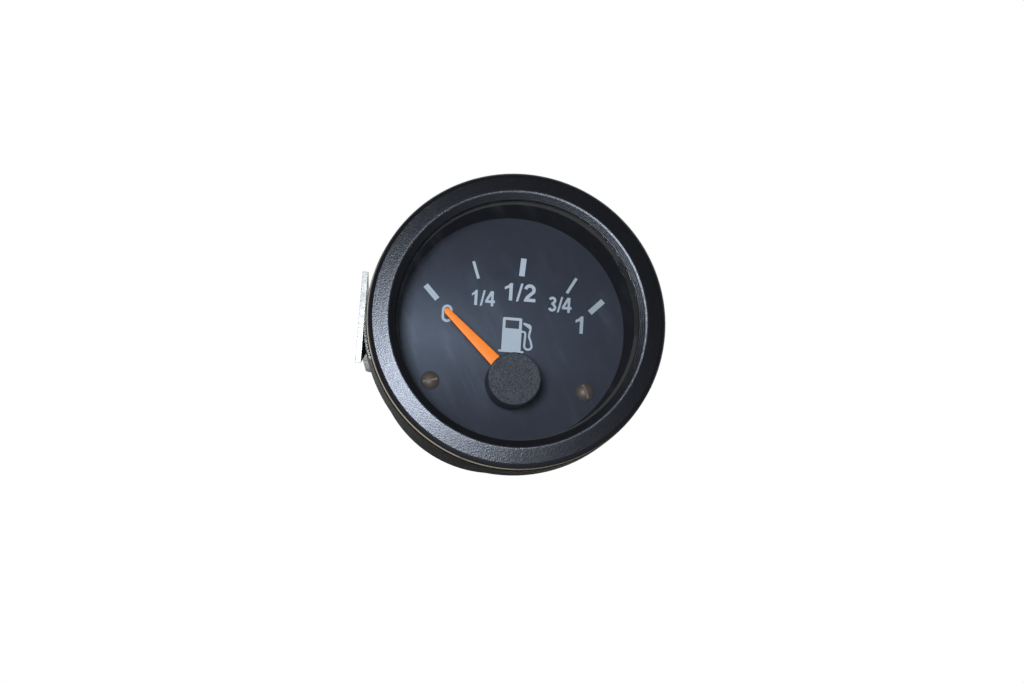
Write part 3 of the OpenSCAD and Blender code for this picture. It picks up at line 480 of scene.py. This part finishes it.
def dusty_glass(name):
    """The front glass: clear, with a few specks, fine dust and faint slanting wipe marks."""
    f = Finish(name)
    flat = f.stretched(1.0, 0.0, 1.0)
    wipes = f.noise(0.55, 2.0, 0.5, f.slanted(58, 9.0, flat)).between(0.5, 0.7)
    broad = f.noise(0.09, 3.0, 0.5, flat).between(0.4, 0.65)
    dust = f.specks(0.2, 0.028, flat) * f.noise(0.13, 2.0, 0.5, flat).between(0.5, 0.56)
    fine = f.specks(1.1, 0.05, flat) * f.noise(0.4, 2.0, 0.5, flat).between(0.5, 0.7)
    soil = dust * 0.35 + fine * 0.06 + wipes * broad * 0.012 + 0.004
    f.set(Base_Color=(0.6, 0.7, 0.88), Roughness=0.05 + soil * 2)
    f.see_through(soil, (0.985, 0.99, 0.99))
    return f.material


def wound_wire(name, colour, across):
    """A winding of fine enamelled wire: close parallel turns along one axis."""
    f = Finish(name)
    turns = f.bands(across, 1.6, Distortion=0.4, Detail=2.0)
    f.set(Base_Color=f.mix(turns, tint(colour, 0.45), colour), Metallic=0.9,
          Roughness=0.3 + turns * 0.1)
    f.bump(turns, 0.08)
    return f.material


def laminate(name, colour, line_colour):
    """Pressed laminate: a woven-looking sheet with faint crossed lines."""
    f = Finish(name)
    weave = f.bands("X", 0.9).most(f.bands("Z", 0.9))
    f.set(Base_Color=f.mix(weave * 0.4, colour, line_colour), Roughness=0.42 + f.noise(0.8) * 0.15)
    f.bump(weave, 0.01)
    return f.material


def tungsten_wire(name):
    """Grey tungsten wire, unlit, with drawn lines."""
    f = Finish(name)
    drawn = f.noise(9.0, 2.0)
    f.set(Base_Color=f.mix(drawn, (0.22, 0.21, 0.2), (0.34, 0.33, 0.32)), Metallic=1.0,
          Roughness=0.4 + drawn * 0.1)
    return f.material


# Shapes

def grid_faces(rows, columns, wrap_rows, wrap_columns):
    """Quads between neighbouring points of a grid, joined round where it wraps."""
    r = np.arange(rows if wrap_rows else rows - 1)[:, None]
    c = np.arange(columns if wrap_columns else columns - 1)[None, :]
    r2, c2 = (r + 1) % rows, (c + 1) % columns
    corners = [r * columns + c, r * columns + c2, r2 * columns + c2, r2 * columns + c]
    return np.stack(corners, -1).reshape(-1, 4)


def add_object(name, data):
    """Puts data into the scene as an object at the origin."""
    made = bpy.data.objects.new(name, data)
    bpy.context.scene.collection.objects.link(made)
    return made


def make_piece(name, parts, body, material, node, flank=None, smooth_angle=35.0):
    """Makes one object of grids, each with its points and how it wraps, for one CAD node."""
    mesh = bpy.data.meshes.new(name)
    points, faces, start = [], [], 0
    for grid, wrap_rows, wrap_columns in parts:
        rows, columns = grid.shape[:2]
        points.append(grid.reshape(-1, 3))
        faces.append(grid_faces(rows, columns, wrap_rows, wrap_columns) + start)
        start += rows * columns
    mesh.from_pydata(np.concatenate(points).tolist(), [], np.concatenate(faces).tolist())
    if flank is not None:
        attribute = mesh.attributes.new("flank", "FLOAT", "POINT")
        attribute.data.foreach_set("value", np.concatenate(flank).astype(np.float32))
    tidy_mesh(mesh, smooth_angle)
    return place_piece(name, mesh, body, material, node)


def tidy_mesh(mesh, smooth_angle):
    """Merges seams and poles, turns the faces outwards and keeps only true corners sharp."""
    work = bmesh.new()
    work.from_mesh(mesh)
    bmesh.ops.remove_doubles(work, verts=work.verts, dist=MERGE)
    bmesh.ops.dissolve_degenerate(work, edges=work.edges, dist=MERGE)
    bmesh.ops.recalc_face_normals(work, faces=work.faces)
    for face in work.faces:
        face.smooth = True
    for edge in work.edges:
        bend = edge.calc_face_angle(0.0)
        edge.smooth = len(edge.link_faces) == 2 and bend < radians(smooth_angle)
    work.to_mesh(mesh)
    work.free()


def place_piece(name, mesh, body, material, node):
    """Makes the mesh an object with its material, hangs it on its body's empty and hides the CAD
    node it stands for.
    """
    mesh.materials.clear()
    mesh.materials.append(material)
    piece = add_object(name, mesh)
    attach(piece, body)
    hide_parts(node)
    return piece


def rounded_copy(name, node, body, material, edge, steps=2):
    """A CAD node's own shape, merged, with its sharp edges rounded."""
    flat_bend, sharp_bend = radians(0.5), radians(32)
    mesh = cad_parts[node].data.copy()
    mesh.name = name
    work = bmesh.new()
    work.from_mesh(mesh)
    bmesh.ops.remove_doubles(work, verts=work.verts, dist=MERGE)
    bmesh.ops.dissolve_limit(work, angle_limit=flat_bend, verts=work.verts, edges=work.edges)
    for face in work.faces:
        face.smooth = True
    work.to_mesh(mesh)
    work.free()
    if mesh.has_custom_normals:
        mesh.attributes.remove(mesh.attributes["custom_normal"])
    piece = place_piece(name, mesh, body, material, node)
    bevel = piece.modifiers.new("rounding", "BEVEL")
    bevel.width = edge
    bevel.segments = steps
    bevel.limit_method = "ANGLE"
    bevel.angle_limit = sharp_bend
    bevel.harden_normals = True
    return piece


def angles(steps):
    """Even steps once round, without the last, which is the first again."""
    return np.linspace(0, TURN, steps, endpoint=False)


def turned(r, y, a, centre):
    """Points at radius r and angle a round an axis along Y: x = r cos a, z = r sin a."""
    x, z = centre[0] + r * np.cos(a), centre[1] + r * np.sin(a)
    return np.stack(np.broadcast_arrays(x, y, z), -1)


def revolve(profile, steps, centre=(0.0, 0.0)):
    """Carries a profile of radius and y once round an axis along Y."""
    r, y = np.asarray(profile).T
    return turned(r[None, :], y[None, :], angles(steps)[:, None], centre)


def leaning(x, z, lean, centre):
    """Turns x and z by an angle and moves them to an axis along Y."""
    return (centre[0] + x * np.cos(lean) - z * np.sin(lean),
            centre[1] + x * np.sin(lean) + z * np.cos(lean))


def arc(centre, radius, start, end, steps):
    """Points on a circle from one angle to another, in degrees."""
    a = np.radians(np.linspace(start, end, steps))
    return np.stack([centre[0] + radius * np.cos(a), centre[1] + radius * np.sin(a)], -1)


def unit(vectors):
    """Vectors, each brought to length 1."""
    return vectors / np.linalg.norm(vectors, axis=-1, keepdims=True)


def rounded_loop(corners, radius):
    """A closed outline, its corners cut back by a curve: a quadratic blend of both sides."""
    corners = np.asarray(corners, float)
    before, after = np.roll(corners, 1, 0) - corners, np.roll(corners, -1, 0) - corners
    shorter = np.minimum(np.linalg.norm(before, axis=1), np.linalg.norm(after, axis=1))
    cut = np.minimum(shorter * 0.45, radius)[:, None]
    first, last = corners + unit(before) * cut, corners + unit(after) * cut
    t = np.linspace(0, 1, 5)[None, :, None]
    curve = ((1 - t) ** 2 * first[:, None] + 2 * t * (1 - t) * corners[:, None]
             + t ** 2 * last[:, None])
    return curve.reshape(-1, 2)


# Pieces

def ring_profile(s, lip_y, groove_y, outer, rear_y):
    """The front ring's closed outline: inner slope, lip, face, turned edge, groove, bead, skirt.

    The ridges are the size of a sine along the slope, and the face and the turned edge fall by
    powers of the way along them.
    """
    roll, groove_depth, skirt_inset = 0.14 * MM, 0.2 * MM, 0.1 * MM
    per_ridge = 14
    corner, chamfer, window_corner = 0.12 * MM, 0.2 * MM, 0.05 * MM
    lip = arc((s.lip_radius, lip_y + s.lip_round), s.lip_round, 243, 281, 9)
    t = np.linspace(0, 1, s.ridges * per_ridge + 1)[:-1, None]
    slope = (s.window_radius, lip_y + s.window_drop) * (1 - t) + lip[0] * t
    slope[:, 1] -= s.ridge_height * np.abs(np.sin(np.pi * t[:, 0] * s.ridges))
    u = np.linspace(0, 1, 10)[1:, None]
    rim = np.array([s.face_radius, lip_y + s.face_drop])
    body_r = outer - s.bead_step
    turn = u ** 1.6
    edge = np.hstack([rim[0] + (body_r - rim[0]) * turn,
                      rim[1] + s.edge_drop * (0.8 * turn + 0.2 * turn ** 4)])
    inner = outer - skirt_inset - s.skirt_wall
    return np.concatenate([
        slope,
        lip,
        lip[-1] + (rim - lip[-1]) * (1 - (1 - u) ** 1.8),
        edge,
        arc((body_r - 0.04 * MM, groove_y - 0.12 * MM), roll, -60, 60, 6),
        [[body_r - groove_depth, groove_y + 0.1 * MM]],
        arc((outer - s.bead, rear_y - s.bead), s.bead, -62, 80, 16),
        arc((inner + corner, rear_y - corner), corner, 90, 180, 4),
        [[inner, lip_y + s.flange + chamfer], [inner - chamfer, lip_y + s.flange]],
        [[s.window_radius + window_corner, lip_y + s.flange],
         [s.window_radius, lip_y + s.flange - window_corner]],
    ])


def blade_shape(s, centre, front_y):
    """The pointer's blade: rounded rectangles along its length, closing to a round tip.

    A section's width and depth go with cosine and sine to a small power, which squares them.
    """
    rows, around, squaring = 60, 40, 0.3
    flank_width, flank_depth = 0.93, -0.85
    t = np.linspace(0, 1, rows)
    along = s.length * np.sin(t * np.pi / 2)
    taper = s.base_width / 2 + (s.tip_width - s.base_width) / 2 * along / s.length
    tip = np.clip((s.length - along) / (s.tip_width / 2), 0, 1)
    half = taper * np.sqrt(1 - (1 - tip) ** 2)
    a = angles(around)
    cos, sin = np.cos(a), np.sin(a)
    wide = np.sign(cos) * np.abs(cos) ** squaring
    deep = np.sign(sin) * np.abs(sin) ** squaring
    x = half[:, None] * wide[None, :]
    y = front_y + s.thickness / 2 + s.thickness / 2 * deep[None, :] * np.ones((rows, 1))
    y = y - s.crown * (1 - wide[None, :] ** 2) * (deep[None, :] < 0)
    x, z = leaning(x, along[:, None], s.rest_angle, centre)
    flank = ((np.abs(wide) > flank_width) & (deep > flank_depth))[None, :] * np.ones((rows, 1))
    return np.stack([x, y, z], -1), flank.reshape(-1)


def cap_profile(s, outer, front_y, rear_y):
    """The cap's outline: a face hollowed by a parabola, a rounded edge, skirt and inside."""
    wall, rear_round = 1.0 * MM, 0.1 * MM
    flat = outer - s.cap_round
    t = np.linspace(0, 1, 14)
    return np.concatenate([
        np.stack([flat * t, front_y + s.cap_dish * (1 - t ** 2)], -1),
        arc((flat, front_y + s.cap_round), s.cap_round, -82, 0, 10),
        arc((outer - rear_round, rear_y - rear_round), rear_round, 0, 90, 4),
        [[outer - wall, rear_y], [outer - wall, front_y + wall], [0.0, front_y + wall]],
    ])


def threaded_bar(s, radius, start_y, end_y, centre):
    """A screw thread: its radius goes with the fraction of turns along it less turns round it."""
    around, per_pitch = 36, 10
    lead_in, lead_depth = 0.9 * MM, 0.55 * MM
    root, steepness = 1.25, 3.4
    rows = int((end_y - start_y) / s.pitch * per_pitch)
    y = np.linspace(start_y, end_y, rows)[:, None]
    a = angles(around)[None, :]
    phase = np.mod(y / s.pitch - a / TURN, 1.0)
    groove = np.clip(root - np.abs(phase - 0.5) * steepness, 0, 1)
    taper = np.clip((end_y - y) / lead_in, 0, 1)
    r = np.minimum(radius - s.thread_depth * groove, radius - lead_depth * (1 - taper))
    ends = ((1, 1), (0, 0))
    return turned(np.pad(r, ends), np.pad(y, ends, "edge"), a, centre)


def turned_nut(outline, bore, chamfer, start_y, end_y, centre, rows=15):
    """A nut whose outline is a radius for each angle, with chamfered ends and a countersunk bore.

    The wall is the outline or, near an end, a cone that opens out from it, whichever is less.
    """
    cone, sink, sink_depth = 1.6, 0.25 * MM, 0.3 * MM
    a = angles(len(outline))[:, None]
    y = start_y + (end_y - start_y) * (0.5 - np.cos(np.linspace(0, np.pi, rows)) / 2)
    edge = np.minimum(y - start_y, end_y - y)
    cap = outline.max() - chamfer + edge * cone
    wall = np.minimum(outline[:, None], cap[None, :])
    ends = np.minimum(bore + sink, wall[:, :1])
    hole = np.full_like(a, bore)
    r = np.concatenate([hole, ends, wall, ends, hole], 1)
    y = np.concatenate([[start_y + sink_depth, start_y], y, [end_y, end_y - sink_depth]])
    return turned(r, y[None, :], a, centre)


def split_washer(inner, outer, start_y, end_y, centre):
    """A spring washer: a rounded rectangle carried round most of a turn as it climbs a little."""
    gap, rise, rounding = 14.0, 0.18 * MM, 0.12 * MM
    far_y = end_y - rise
    section = rounded_loop([(inner, start_y), (outer, start_y), (outer, far_y), (inner, far_y)],
                           rounding)
    turn = np.radians(np.linspace(gap / 2, 360 - gap / 2, 90))[:, None]
    lift = rise * (turn - turn[0]) / TURN
    grid = turned(section[None, :, 0], section[None, :, 1] + lift, turn, centre)
    ends = [np.broadcast_to(grid[i].mean(0), grid[i].shape)[None] for i in (0, -1)]
    return np.concatenate([ends[0], grid, ends[1]])


def coiled_wire(start, end, coil_radius, wire_radius, turns):
    """Round wire coiled along a line: a tube round the line's point plus a turning radius."""
    per_turn, around, end_rise = 16, 6, 8
    start, end = np.asarray(start), np.asarray(end)
    t = np.linspace(0, 1, turns * per_turn)[:, None]
    line = unit(end - start)
    side = unit(np.cross(line, [0.0, 1.0, 0.0]))
    up = np.cross(line, side)
    a = t * turns * TURN
    ends = np.minimum(t, 1 - t)
    reach = coil_radius * np.sin(np.clip(ends * end_rise, 0, 1) * np.pi / 2)
    path = start + (end - start) * t + reach * (np.cos(a) * side + np.sin(a) * up)
    ahead = unit(np.gradient(path, axis=0))
    across = unit(np.cross(ahead, up))
    over = np.cross(ahead, across)
    b = angles(around)[None, :, None]
    return path[:, None] + wire_radius * (np.cos(b) * across[:, None] + np.sin(b) * over[:, None])


def dress(material, *nodes):
    """Gives CAD nodes that stay as they are their material."""
    for node in nodes:
        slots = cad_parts[node].data.materials
        slots.clear()
        slots.append(material)


class GaugeOperator:
    """What the operators share."""
    bl_options = {"REGISTER", "UNDO"}


class GAUGE_OT_front_ring(GaugeOperator, bpy.types.Operator):
    """Make the front ring with its ridges, lip and rolled bead"""
    bl_idname = "gauge.front_ring"
    bl_label = "Front ring"

    def execute(self, context):
        s = context.scene.gauge_ring
        lo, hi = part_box("bezel_ring")
        inset, groove_drop = 0.045 * MM, 0.35 * MM
        lip_y = lo.y + inset
        groove_y = lip_y + s.face_drop + s.edge_drop + groove_drop
        profile = ring_profile(s, lip_y, groove_y, hi.x, hi.y)
        black = satin_black("satin_black", context.scene.gauge_finish.ring_black,
                            hi.x / MM, groove_y / MM, (hi.y - s.bead) / MM)
        make_piece("front_ring", [(revolve(profile, 360), True, True)], "case", black,
                   "bezel_ring", smooth_angle=50)
        return {"FINISHED"}


class GAUGE_OT_glass_and_seals(GaugeOperator, bpy.types.Operator):
    """Finish the glass, its gasket, the shade ring and the panel seal"""
    bl_idname = "gauge.glass_and_seals"
    bl_label = "Glass and seals"

    def execute(self, context):
        dress(dusty_glass("front_glass"), "lens_glass")
        dress(soft_rubber("soft_rubber"), "lens_gasket", "panel_seal")
        dress(moulded_plastic("shade_black", (0.005, 0.005, 0.007), 0.62, gloss=0.2), "shade_ring")
        return {"FINISHED"}


class GAUGE_OT_dial(GaugeOperator, bpy.types.Operator):
    """Finish the dial, its printing and its screws"""
    bl_idname = "gauge.dial"
    bl_label = "Dial"

    def execute(self, context):
        colours = context.scene.gauge_finish
        dress(dial_paint("dial_paint", colours.dial), "dial_plate")
        dress(printed_ink("printed_ink", colours.ink), "scale_marks", "scale_numerals",
              "pump_symbol")
        dark = plated_metal("blackened_steel", colours.screw, 0.5, streak=(0.6, 0.6, 0.6),
                            stain=(0.16, 0.1, 0.07), metallic=0.35)
        rounded_copy("screws_in_dial", "dial_screws", "case", dark, 0.05 * MM)
        return {"FINISHED"}


class GAUGE_OT_pointer(GaugeOperator, bpy.types.Operator):
    """Make the pointer with its hub, and the cap over it"""
    bl_idname = "gauge.pointer"
    bl_label = "Pointer"

    def execute(self, context):
        s = context.scene.gauge_pointer
        colours = context.scene.gauge_finish
        lo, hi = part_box("pointer")
        cap_lo, cap_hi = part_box("pointer_cap")
        centre = middle(cap_lo, cap_hi)
        outer = cap_hi.x - centre[0]
        blade_front = lo.y + 0.4 * MM
        blade, flank = blade_shape(s, centre, blade_front)
        disc, disc_depth, chamfer, boss = 4.3 * MM, 1.2 * MM, 0.1 * MM, 1.6 * MM
        hub = revolve([(0.0, lo.y), (disc - chamfer, lo.y), (disc, lo.y + chamfer),
                       (disc, lo.y + disc_depth), (boss, lo.y + disc_depth), (boss, hi.y),
                       (0.0, hi.y)], 72, centre)
        orange = bright_orange("bright_orange", colours.pointer)
        make_piece("orange_pointer", [(blade, False, True), (hub, True, False)],
                   "pointer_assembly", orange, "pointer",
                   [flank, np.zeros(hub[..., 0].size)])
        shell = revolve(cap_profile(s, outer, cap_lo.y, cap_hi.y), 160, centre)
        cap = make_piece("grained_cap", [(shell, True, False)], "pointer_assembly",
                         grained_cap_finish(colours.cap), "pointer_cap")
        self.cut_slot(cap, centre, s, blade_front, cap_hi.y, outer)
        return {"FINISHED"}

    def cut_slot(self, cap, centre, s, front, rear, outer):
        """Cuts the way through the cap's skirt for the blade."""
        gap, before, beyond = 0.15 * MM, 0.1 * MM, 1.0 * MM
        half = s.base_width / 2 + gap
        corners = leaning(np.array([-half, half, half, -half]),
                          outer * np.array([0.7, 0.7, 1.3, 1.3]), s.rest_angle, centre)
        mesh = bpy.data.meshes.new("slot_tool")
        points = [(x, y, z) for y in (front - before, rear + beyond) for x, z in zip(*corners)]
        sides = [(i, i + 4, (i + 1) % 4 + 4, (i + 1) % 4) for i in range(4)]
        mesh.from_pydata(points, [], [(0, 1, 2, 3), (7, 6, 5, 4)] + sides)
        tool = add_object("slot_tool", mesh)
        cut = cap.modifiers.new("slot", "BOOLEAN")
        cut.operation = "DIFFERENCE"
        cut.object = tool
        cut.solver = "EXACT"
        graph = bpy.context.evaluated_depsgraph_get()
        done = bpy.data.meshes.new_from_object(cap.evaluated_get(graph))
        cap.modifiers.clear()
        cap.data = done
        bpy.data.objects.remove(tool)


class GAUGE_OT_case(GaugeOperator, bpy.types.Operator):
    """Finish the moulded case and the insulator on it"""
    bl_idname = "gauge.case"
    bl_label = "Case"

    def execute(self, context):
        edge = context.scene.gauge_fasteners.edge
        black = moulded_plastic("moulded_black", context.scene.gauge_finish.moulded_black,
                                grain=6.0, gloss=0.1)
        rounded_copy("moulded_case", "case_body", "case", black, edge)
        brown = laminate("brown_laminate", (0.05, 0.018, 0.009), (0.09, 0.04, 0.02))
        rounded_copy("insulating_plate", "terminal_insulator", "case", brown,
                     edge)
        return {"FINISHED"}


class GAUGE_OT_movement(GaugeOperator, bpy.types.Operator):
    """Finish the movement and the board inside the case"""
    bl_idname = "gauge.movement"
    bl_label = "Movement"

    def execute(self, context):
        colours = context.scene.gauge_finish
        dress(moulded_plastic("natural_moulding", (0.62, 0.6, 0.5)),
              "carrier_plate", "coil_former_front", "coil_former_rear")
        dress(clear_plate("clear_guide", (0.85, 0.92, 0.93), 0.06), "light_guide")
        dress(plated_metal("bright_steel", (0.6, 0.6, 0.61), 0.25),
              "shield_can", "spindle", "coil_pins")
        dress(plated_metal("turned_brass", colours.brass), "front_bushing", "rear_bushing",
              "dial_pillars", "board_spacers")
        dress(plated_metal("sintered_magnet", (0.2, 0.2, 0.2), 0.55),
              "rotor_magnet", "return_magnet")
        dress(wound_wire("inner_winding", colours.copper, "Z"), "coil_inner")
        dress(wound_wire("outer_winding", colours.copper, "X"), "coil_outer")
        dress(laminate("green_board", (0.02, 0.11, 0.045), (0.03, 0.16, 0.07)), "circuit_board")
        dress(moulded_plastic("resistor_enamel", (0.12, 0.22, 0.17), 0.35), "series_resistors")
        dress(moulded_plastic("diode_black", (0.012, 0.012, 0.012), 0.3), "clamp_diode")
        dress(plated_metal("base_zinc", colours.zinc, 0.32), "base_plate")
        return {"FINISHED"}


class GAUGE_OT_terminals(GaugeOperator, bpy.types.Operator):
    """Make the spade terminals and the lamp's tabs"""
    bl_idname = "gauge.terminals"
    bl_label = "Terminals"

    def execute(self, context):
        brass = plated_metal("sheet_brass", context.scene.gauge_finish.brass, 0.28,
                             streak=(0.3, 3.0, 0.3), stain=(0.4, 0.24, 0.1))
        edge = context.scene.gauge_fasteners.edge
        rounded_copy("spade_blades", "spade_terminals", "case", brass, edge)
        rounded_copy("lamp_blades", "lamp_contacts", "lamp_unit", brass, edge * 0.8)
        return {"FINISHED"}


class GAUGE_OT_lamp(GaugeOperator, bpy.types.Operator):
    """Make the lamp holder, its lamp's cap and glass, and the filament"""
    bl_idname = "gauge.lamp"
    bl_label = "Lamp"

    def execute(self, context):
        colours = context.scene.gauge_finish
        black = moulded_plastic("holder_black", tint(colours.moulded_black, 1.4), 0.42, grain=5.0)
        rounded_copy("push_in_holder", "lamp_holder", "lamp_unit", black,
                     0.25 * MM, 3)
        dress(plated_metal("lamp_cap_brass", (0.6, 0.52, 0.38)), "lamp_cap")
        dress(clear_plate("lamp_glass", (0.97, 0.98, 0.98), 0.03), "lamp_bulb")
        lo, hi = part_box("lamp_filament")
        z = middle(lo, hi)[1]
        leg, coil, wire, lean = 0.14 * MM, 0.22 * MM, 0.05 * MM, 0.01 * MM
        top = lo.y + leg
        span = (lo.x + 2 * leg, hi.x - 2 * leg)
        wires = [coiled_wire((span[0], top, z), (span[1], top, z), coil, wire, 14)]
        wires += [coiled_wire((x, hi.y, z + lean), (x, top, z), 0.0, leg, 2) for x in span]
        make_piece("coiled_filament", [(grid, False, True) for grid in wires], "lamp_unit",
                   tungsten_wire("tungsten"), "lamp_filament")
        return {"FINISHED"}


class GAUGE_OT_bracket(GaugeOperator, bpy.types.Operator):
    """Make the clamp bracket and its spring washers"""
    bl_idname = "gauge.bracket"
    bl_label = "Bracket"

    def execute(self, context):
        s = context.scene.gauge_fasteners
        zinc = plated_metal("zinc_plate", context.scene.gauge_finish.zinc, 0.26)
        rounded_copy("clamp_strap", "clamp_bracket", "clamp", zinc,
                     1.6 * s.edge, 3)
        lo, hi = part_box("spring_washers")
        bore, outer = 2.15 * MM, (hi.z - lo.z) / 2
        stud_x, stud_z = hi.x - outer, middle(lo, hi)[1]
        dark = plated_metal("spring_steel", (0.16, 0.15, 0.15), 0.35)
        washers = [(split_washer(bore, outer, lo.y, hi.y, (x, stud_z)), False, True)
                   for x in (-stud_x, stud_x)]
        make_piece("split_washers", washers, "clamp", dark, "spring_washers")
        return {"FINISHED"}


class GAUGE_OT_studs_and_nuts(GaugeOperator, bpy.types.Operator):
    """Make the threaded studs, their washers, the thin nuts and the knurled nuts"""
    bl_idname = "gauge.studs_and_nuts"
    bl_label = "Studs and nuts"

    def execute(self, context):
        s = context.scene.gauge_fasteners
        colours = context.scene.gauge_finish
        zinc = plated_metal("stud_zinc", colours.zinc, streak=(2.0, 0.4, 2.0))
        lo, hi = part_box("mounting_studs")
        head = (hi.z - lo.z) / 2
        stud_x = hi.x - head
        head_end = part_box("base_plate")[0].y
        radius = 2.0 * MM
        outline = [(0.0, lo.y), (head, lo.y), (head, head_end), (0.0, head_end)]
        bars = []
        for centre in ((-stud_x, 0.0), (stud_x, 0.0)):
            bars.append((threaded_bar(s, radius, head_end, hi.y, centre), False, True))
            bars.append((revolve(outline, 48, centre), True, False))
        make_piece("threaded_studs", bars, "case", zinc, "mounting_studs")
        rounded_copy("plain_washers", "stud_washers", "case", zinc, s.edge)
        bore = radius + 0.04 * MM
        self.thin_nuts(s, zinc, stud_x, bore)
        self.knurled_nuts(s, colours, bore)
        return {"FINISHED"}

    def thin_nuts(self, s, zinc, stud_x, bore):
        """Nuts against the rear wall: a flat's distance over the cosine of the angle from it."""
        lo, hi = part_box("stud_nuts")
        flat = (hi.z - lo.z) / 2
        hexagon = flat / np.cos(np.mod(angles(180), TURN / 6) - TURN / 12)
        nuts = [(turned_nut(hexagon, bore, s.chamfer, lo.y, hi.y, (x, 0.0)), True, True)
                for x in (-stud_x, stud_x)]
        make_piece("hexagon_nuts", nuts, "case", zinc, "stud_nuts",
                   smooth_angle=25)

    def knurled_nuts(self, s, colours, bore):
        """Nuts that draw the bracket up: a straight knurl whose radius is a rounded saw."""
        brass = plated_metal("turned_brass_nut", colours.brass, 0.26, streak=(0.6, 0.3, 0.6),
                             stain=(0.42, 0.26, 0.1))
        steps = s.knurl_ridges * 10
        wave = np.abs(np.mod(angles(steps) / TURN * s.knurl_ridges, 1.0) - 0.5) * 2
        for hand in ("left", "right"):
            node = "knurled_nut_" + hand
            lo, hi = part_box(node)
            outer = (hi.z - lo.z) / 2
            outline = outer - s.knurl_depth * np.clip(wave * 1.25 - 0.1, 0, 1)
            nut = turned_nut(outline, bore, s.chamfer, lo.y, hi.y, middle(lo, hi), 25)
            make_piece("thumb_nut_" + hand, [(nut, True, True)], "nut_" + hand, brass, node)


class GAUGE_OT_stage(GaugeOperator, bpy.types.Operator):
    """Set up the floor, the softbox, the even light and the camera"""
    bl_idname = "gauge.stage"
    bl_label = "Stage"

    def execute(self, context):
        s = context.scene.gauge_stage
        self.floor(s)
        self.softbox(s)
        self.sky(s)
        self.camera(s)
        context.scene.view_settings.view_transform = "Standard"
        return {"FINISHED"}

    def floor(self, s):
        """A wide plain floor well below the gauge."""
        half = s.floor_size / 2
        mesh = bpy.data.meshes.new("floor")
        corners = [(x * half, y * half, -s.floor_drop)
                   for x, y in ((-1, -1), (1, -1), (1, 1), (-1, 1))]
        mesh.from_pydata(corners, [], [(0, 1, 2, 3)])
        grey = Finish("grey_floor").set(Base_Color=(0.3, 0.3, 0.3), Roughness=0.8)
        mesh.materials.append(grey.material)
        floor = add_object("floor", mesh)

    def softbox(self, s):
        """A square lamp in front of the gauge, to the left of the camera, turned to the gauge."""
        lamp = bpy.data.lights.new("softbox", "AREA")
        lamp.shape = "SQUARE"
        lamp.size = s.softbox_size
        lamp.energy = s.softbox_power
        box = add_object("softbox", lamp)
        box.location = s.softbox_at
        box.rotation_euler = (-Vector(s.softbox_at)).to_track_quat("-Z", "Y").to_euler()

    def sky(self, s):
        """Even light from the sides and behind, which falls to a dimmer room towards the front."""
        world = bpy.data.worlds.new("even_light")
        world.use_nodes = True
        graph = Graph(world.node_tree, "ShaderNodeOutputWorld")
        way = graph.node("ShaderNodeTexCoord", out="Generated")
        towards_back = graph.node("ShaderNodeSeparateXYZ", {}, {0: way}, "Y")
        fade_start, fade_end = 0.05, 0.65
        strength = graph.node("ShaderNodeMapRange", {"interpolation_type": "SMOOTHSTEP"},
                              {"Value": towards_back, "From Min": fade_start,
                               "From Max": fade_end, "To Min": s.room, "To Max": s.sky})
        graph.show(graph.node("ShaderNodeBackground", {},
                              {"Color": (1.0, 1.0, 1.0), "Strength": strength}))
        bpy.context.scene.world = world

    def camera(self, s):
        """The photograph's point of view."""
        camera = bpy.data.cameras.new("camera")
        camera.lens = s.lens
        camera.clip_start = 0.01
        view = add_object("camera", camera)
        view.location = s.camera_at
        view.rotation_euler = s.camera_turn
        bpy.context.scene.camera = view


OPERATORS = (GAUGE_OT_front_ring, GAUGE_OT_glass_and_seals, GAUGE_OT_dial, GAUGE_OT_pointer,
             GAUGE_OT_case, GAUGE_OT_movement, GAUGE_OT_terminals, GAUGE_OT_lamp, GAUGE_OT_bracket,
             GAUGE_OT_studs_and_nuts, GAUGE_OT_stage)


class GAUGE_PT_tools(bpy.types.Panel):
    """Lists the gauge's pieces and settings"""
    bl_idname = "GAUGE_PT_tools"
    bl_label = "Fuel gauge"
    bl_space_type = "VIEW_3D"
    bl_region_type = "UI"
    bl_category = "Fuel gauge"

    def draw(self, context):
        for operator in OPERATORS:
            self.layout.operator(operator.bl_idname)
        for name, group in SETTINGS.items():
            box = self.layout.box()
            for prop in group.__annotations__:
                box.prop(getattr(context.scene, name), prop)


def register():
    """Adds the settings, operators and panel."""
    for name, group in SETTINGS.items():
        bpy.utils.register_class(group)
        setattr(bpy.types.Scene, name, PointerProperty(type=group))
    for cls in (*OPERATORS, GAUGE_PT_tools):
        bpy.utils.register_class(cls)


def unregister():
    """Removes them again."""
    for cls in (GAUGE_PT_tools, *reversed(OPERATORS)):
        bpy.utils.unregister_class(cls)
    for name, group in SETTINGS.items():
        delattr(bpy.types.Scene, name)
        bpy.utils.unregister_class(group)


def main():
    """Builds every piece in order."""
    register()
    for operator in OPERATORS:
        group, action = operator.bl_idname.split(".")
        getattr(getattr(bpy.ops, group), action)()


if __name__ == "__main__":
    main()
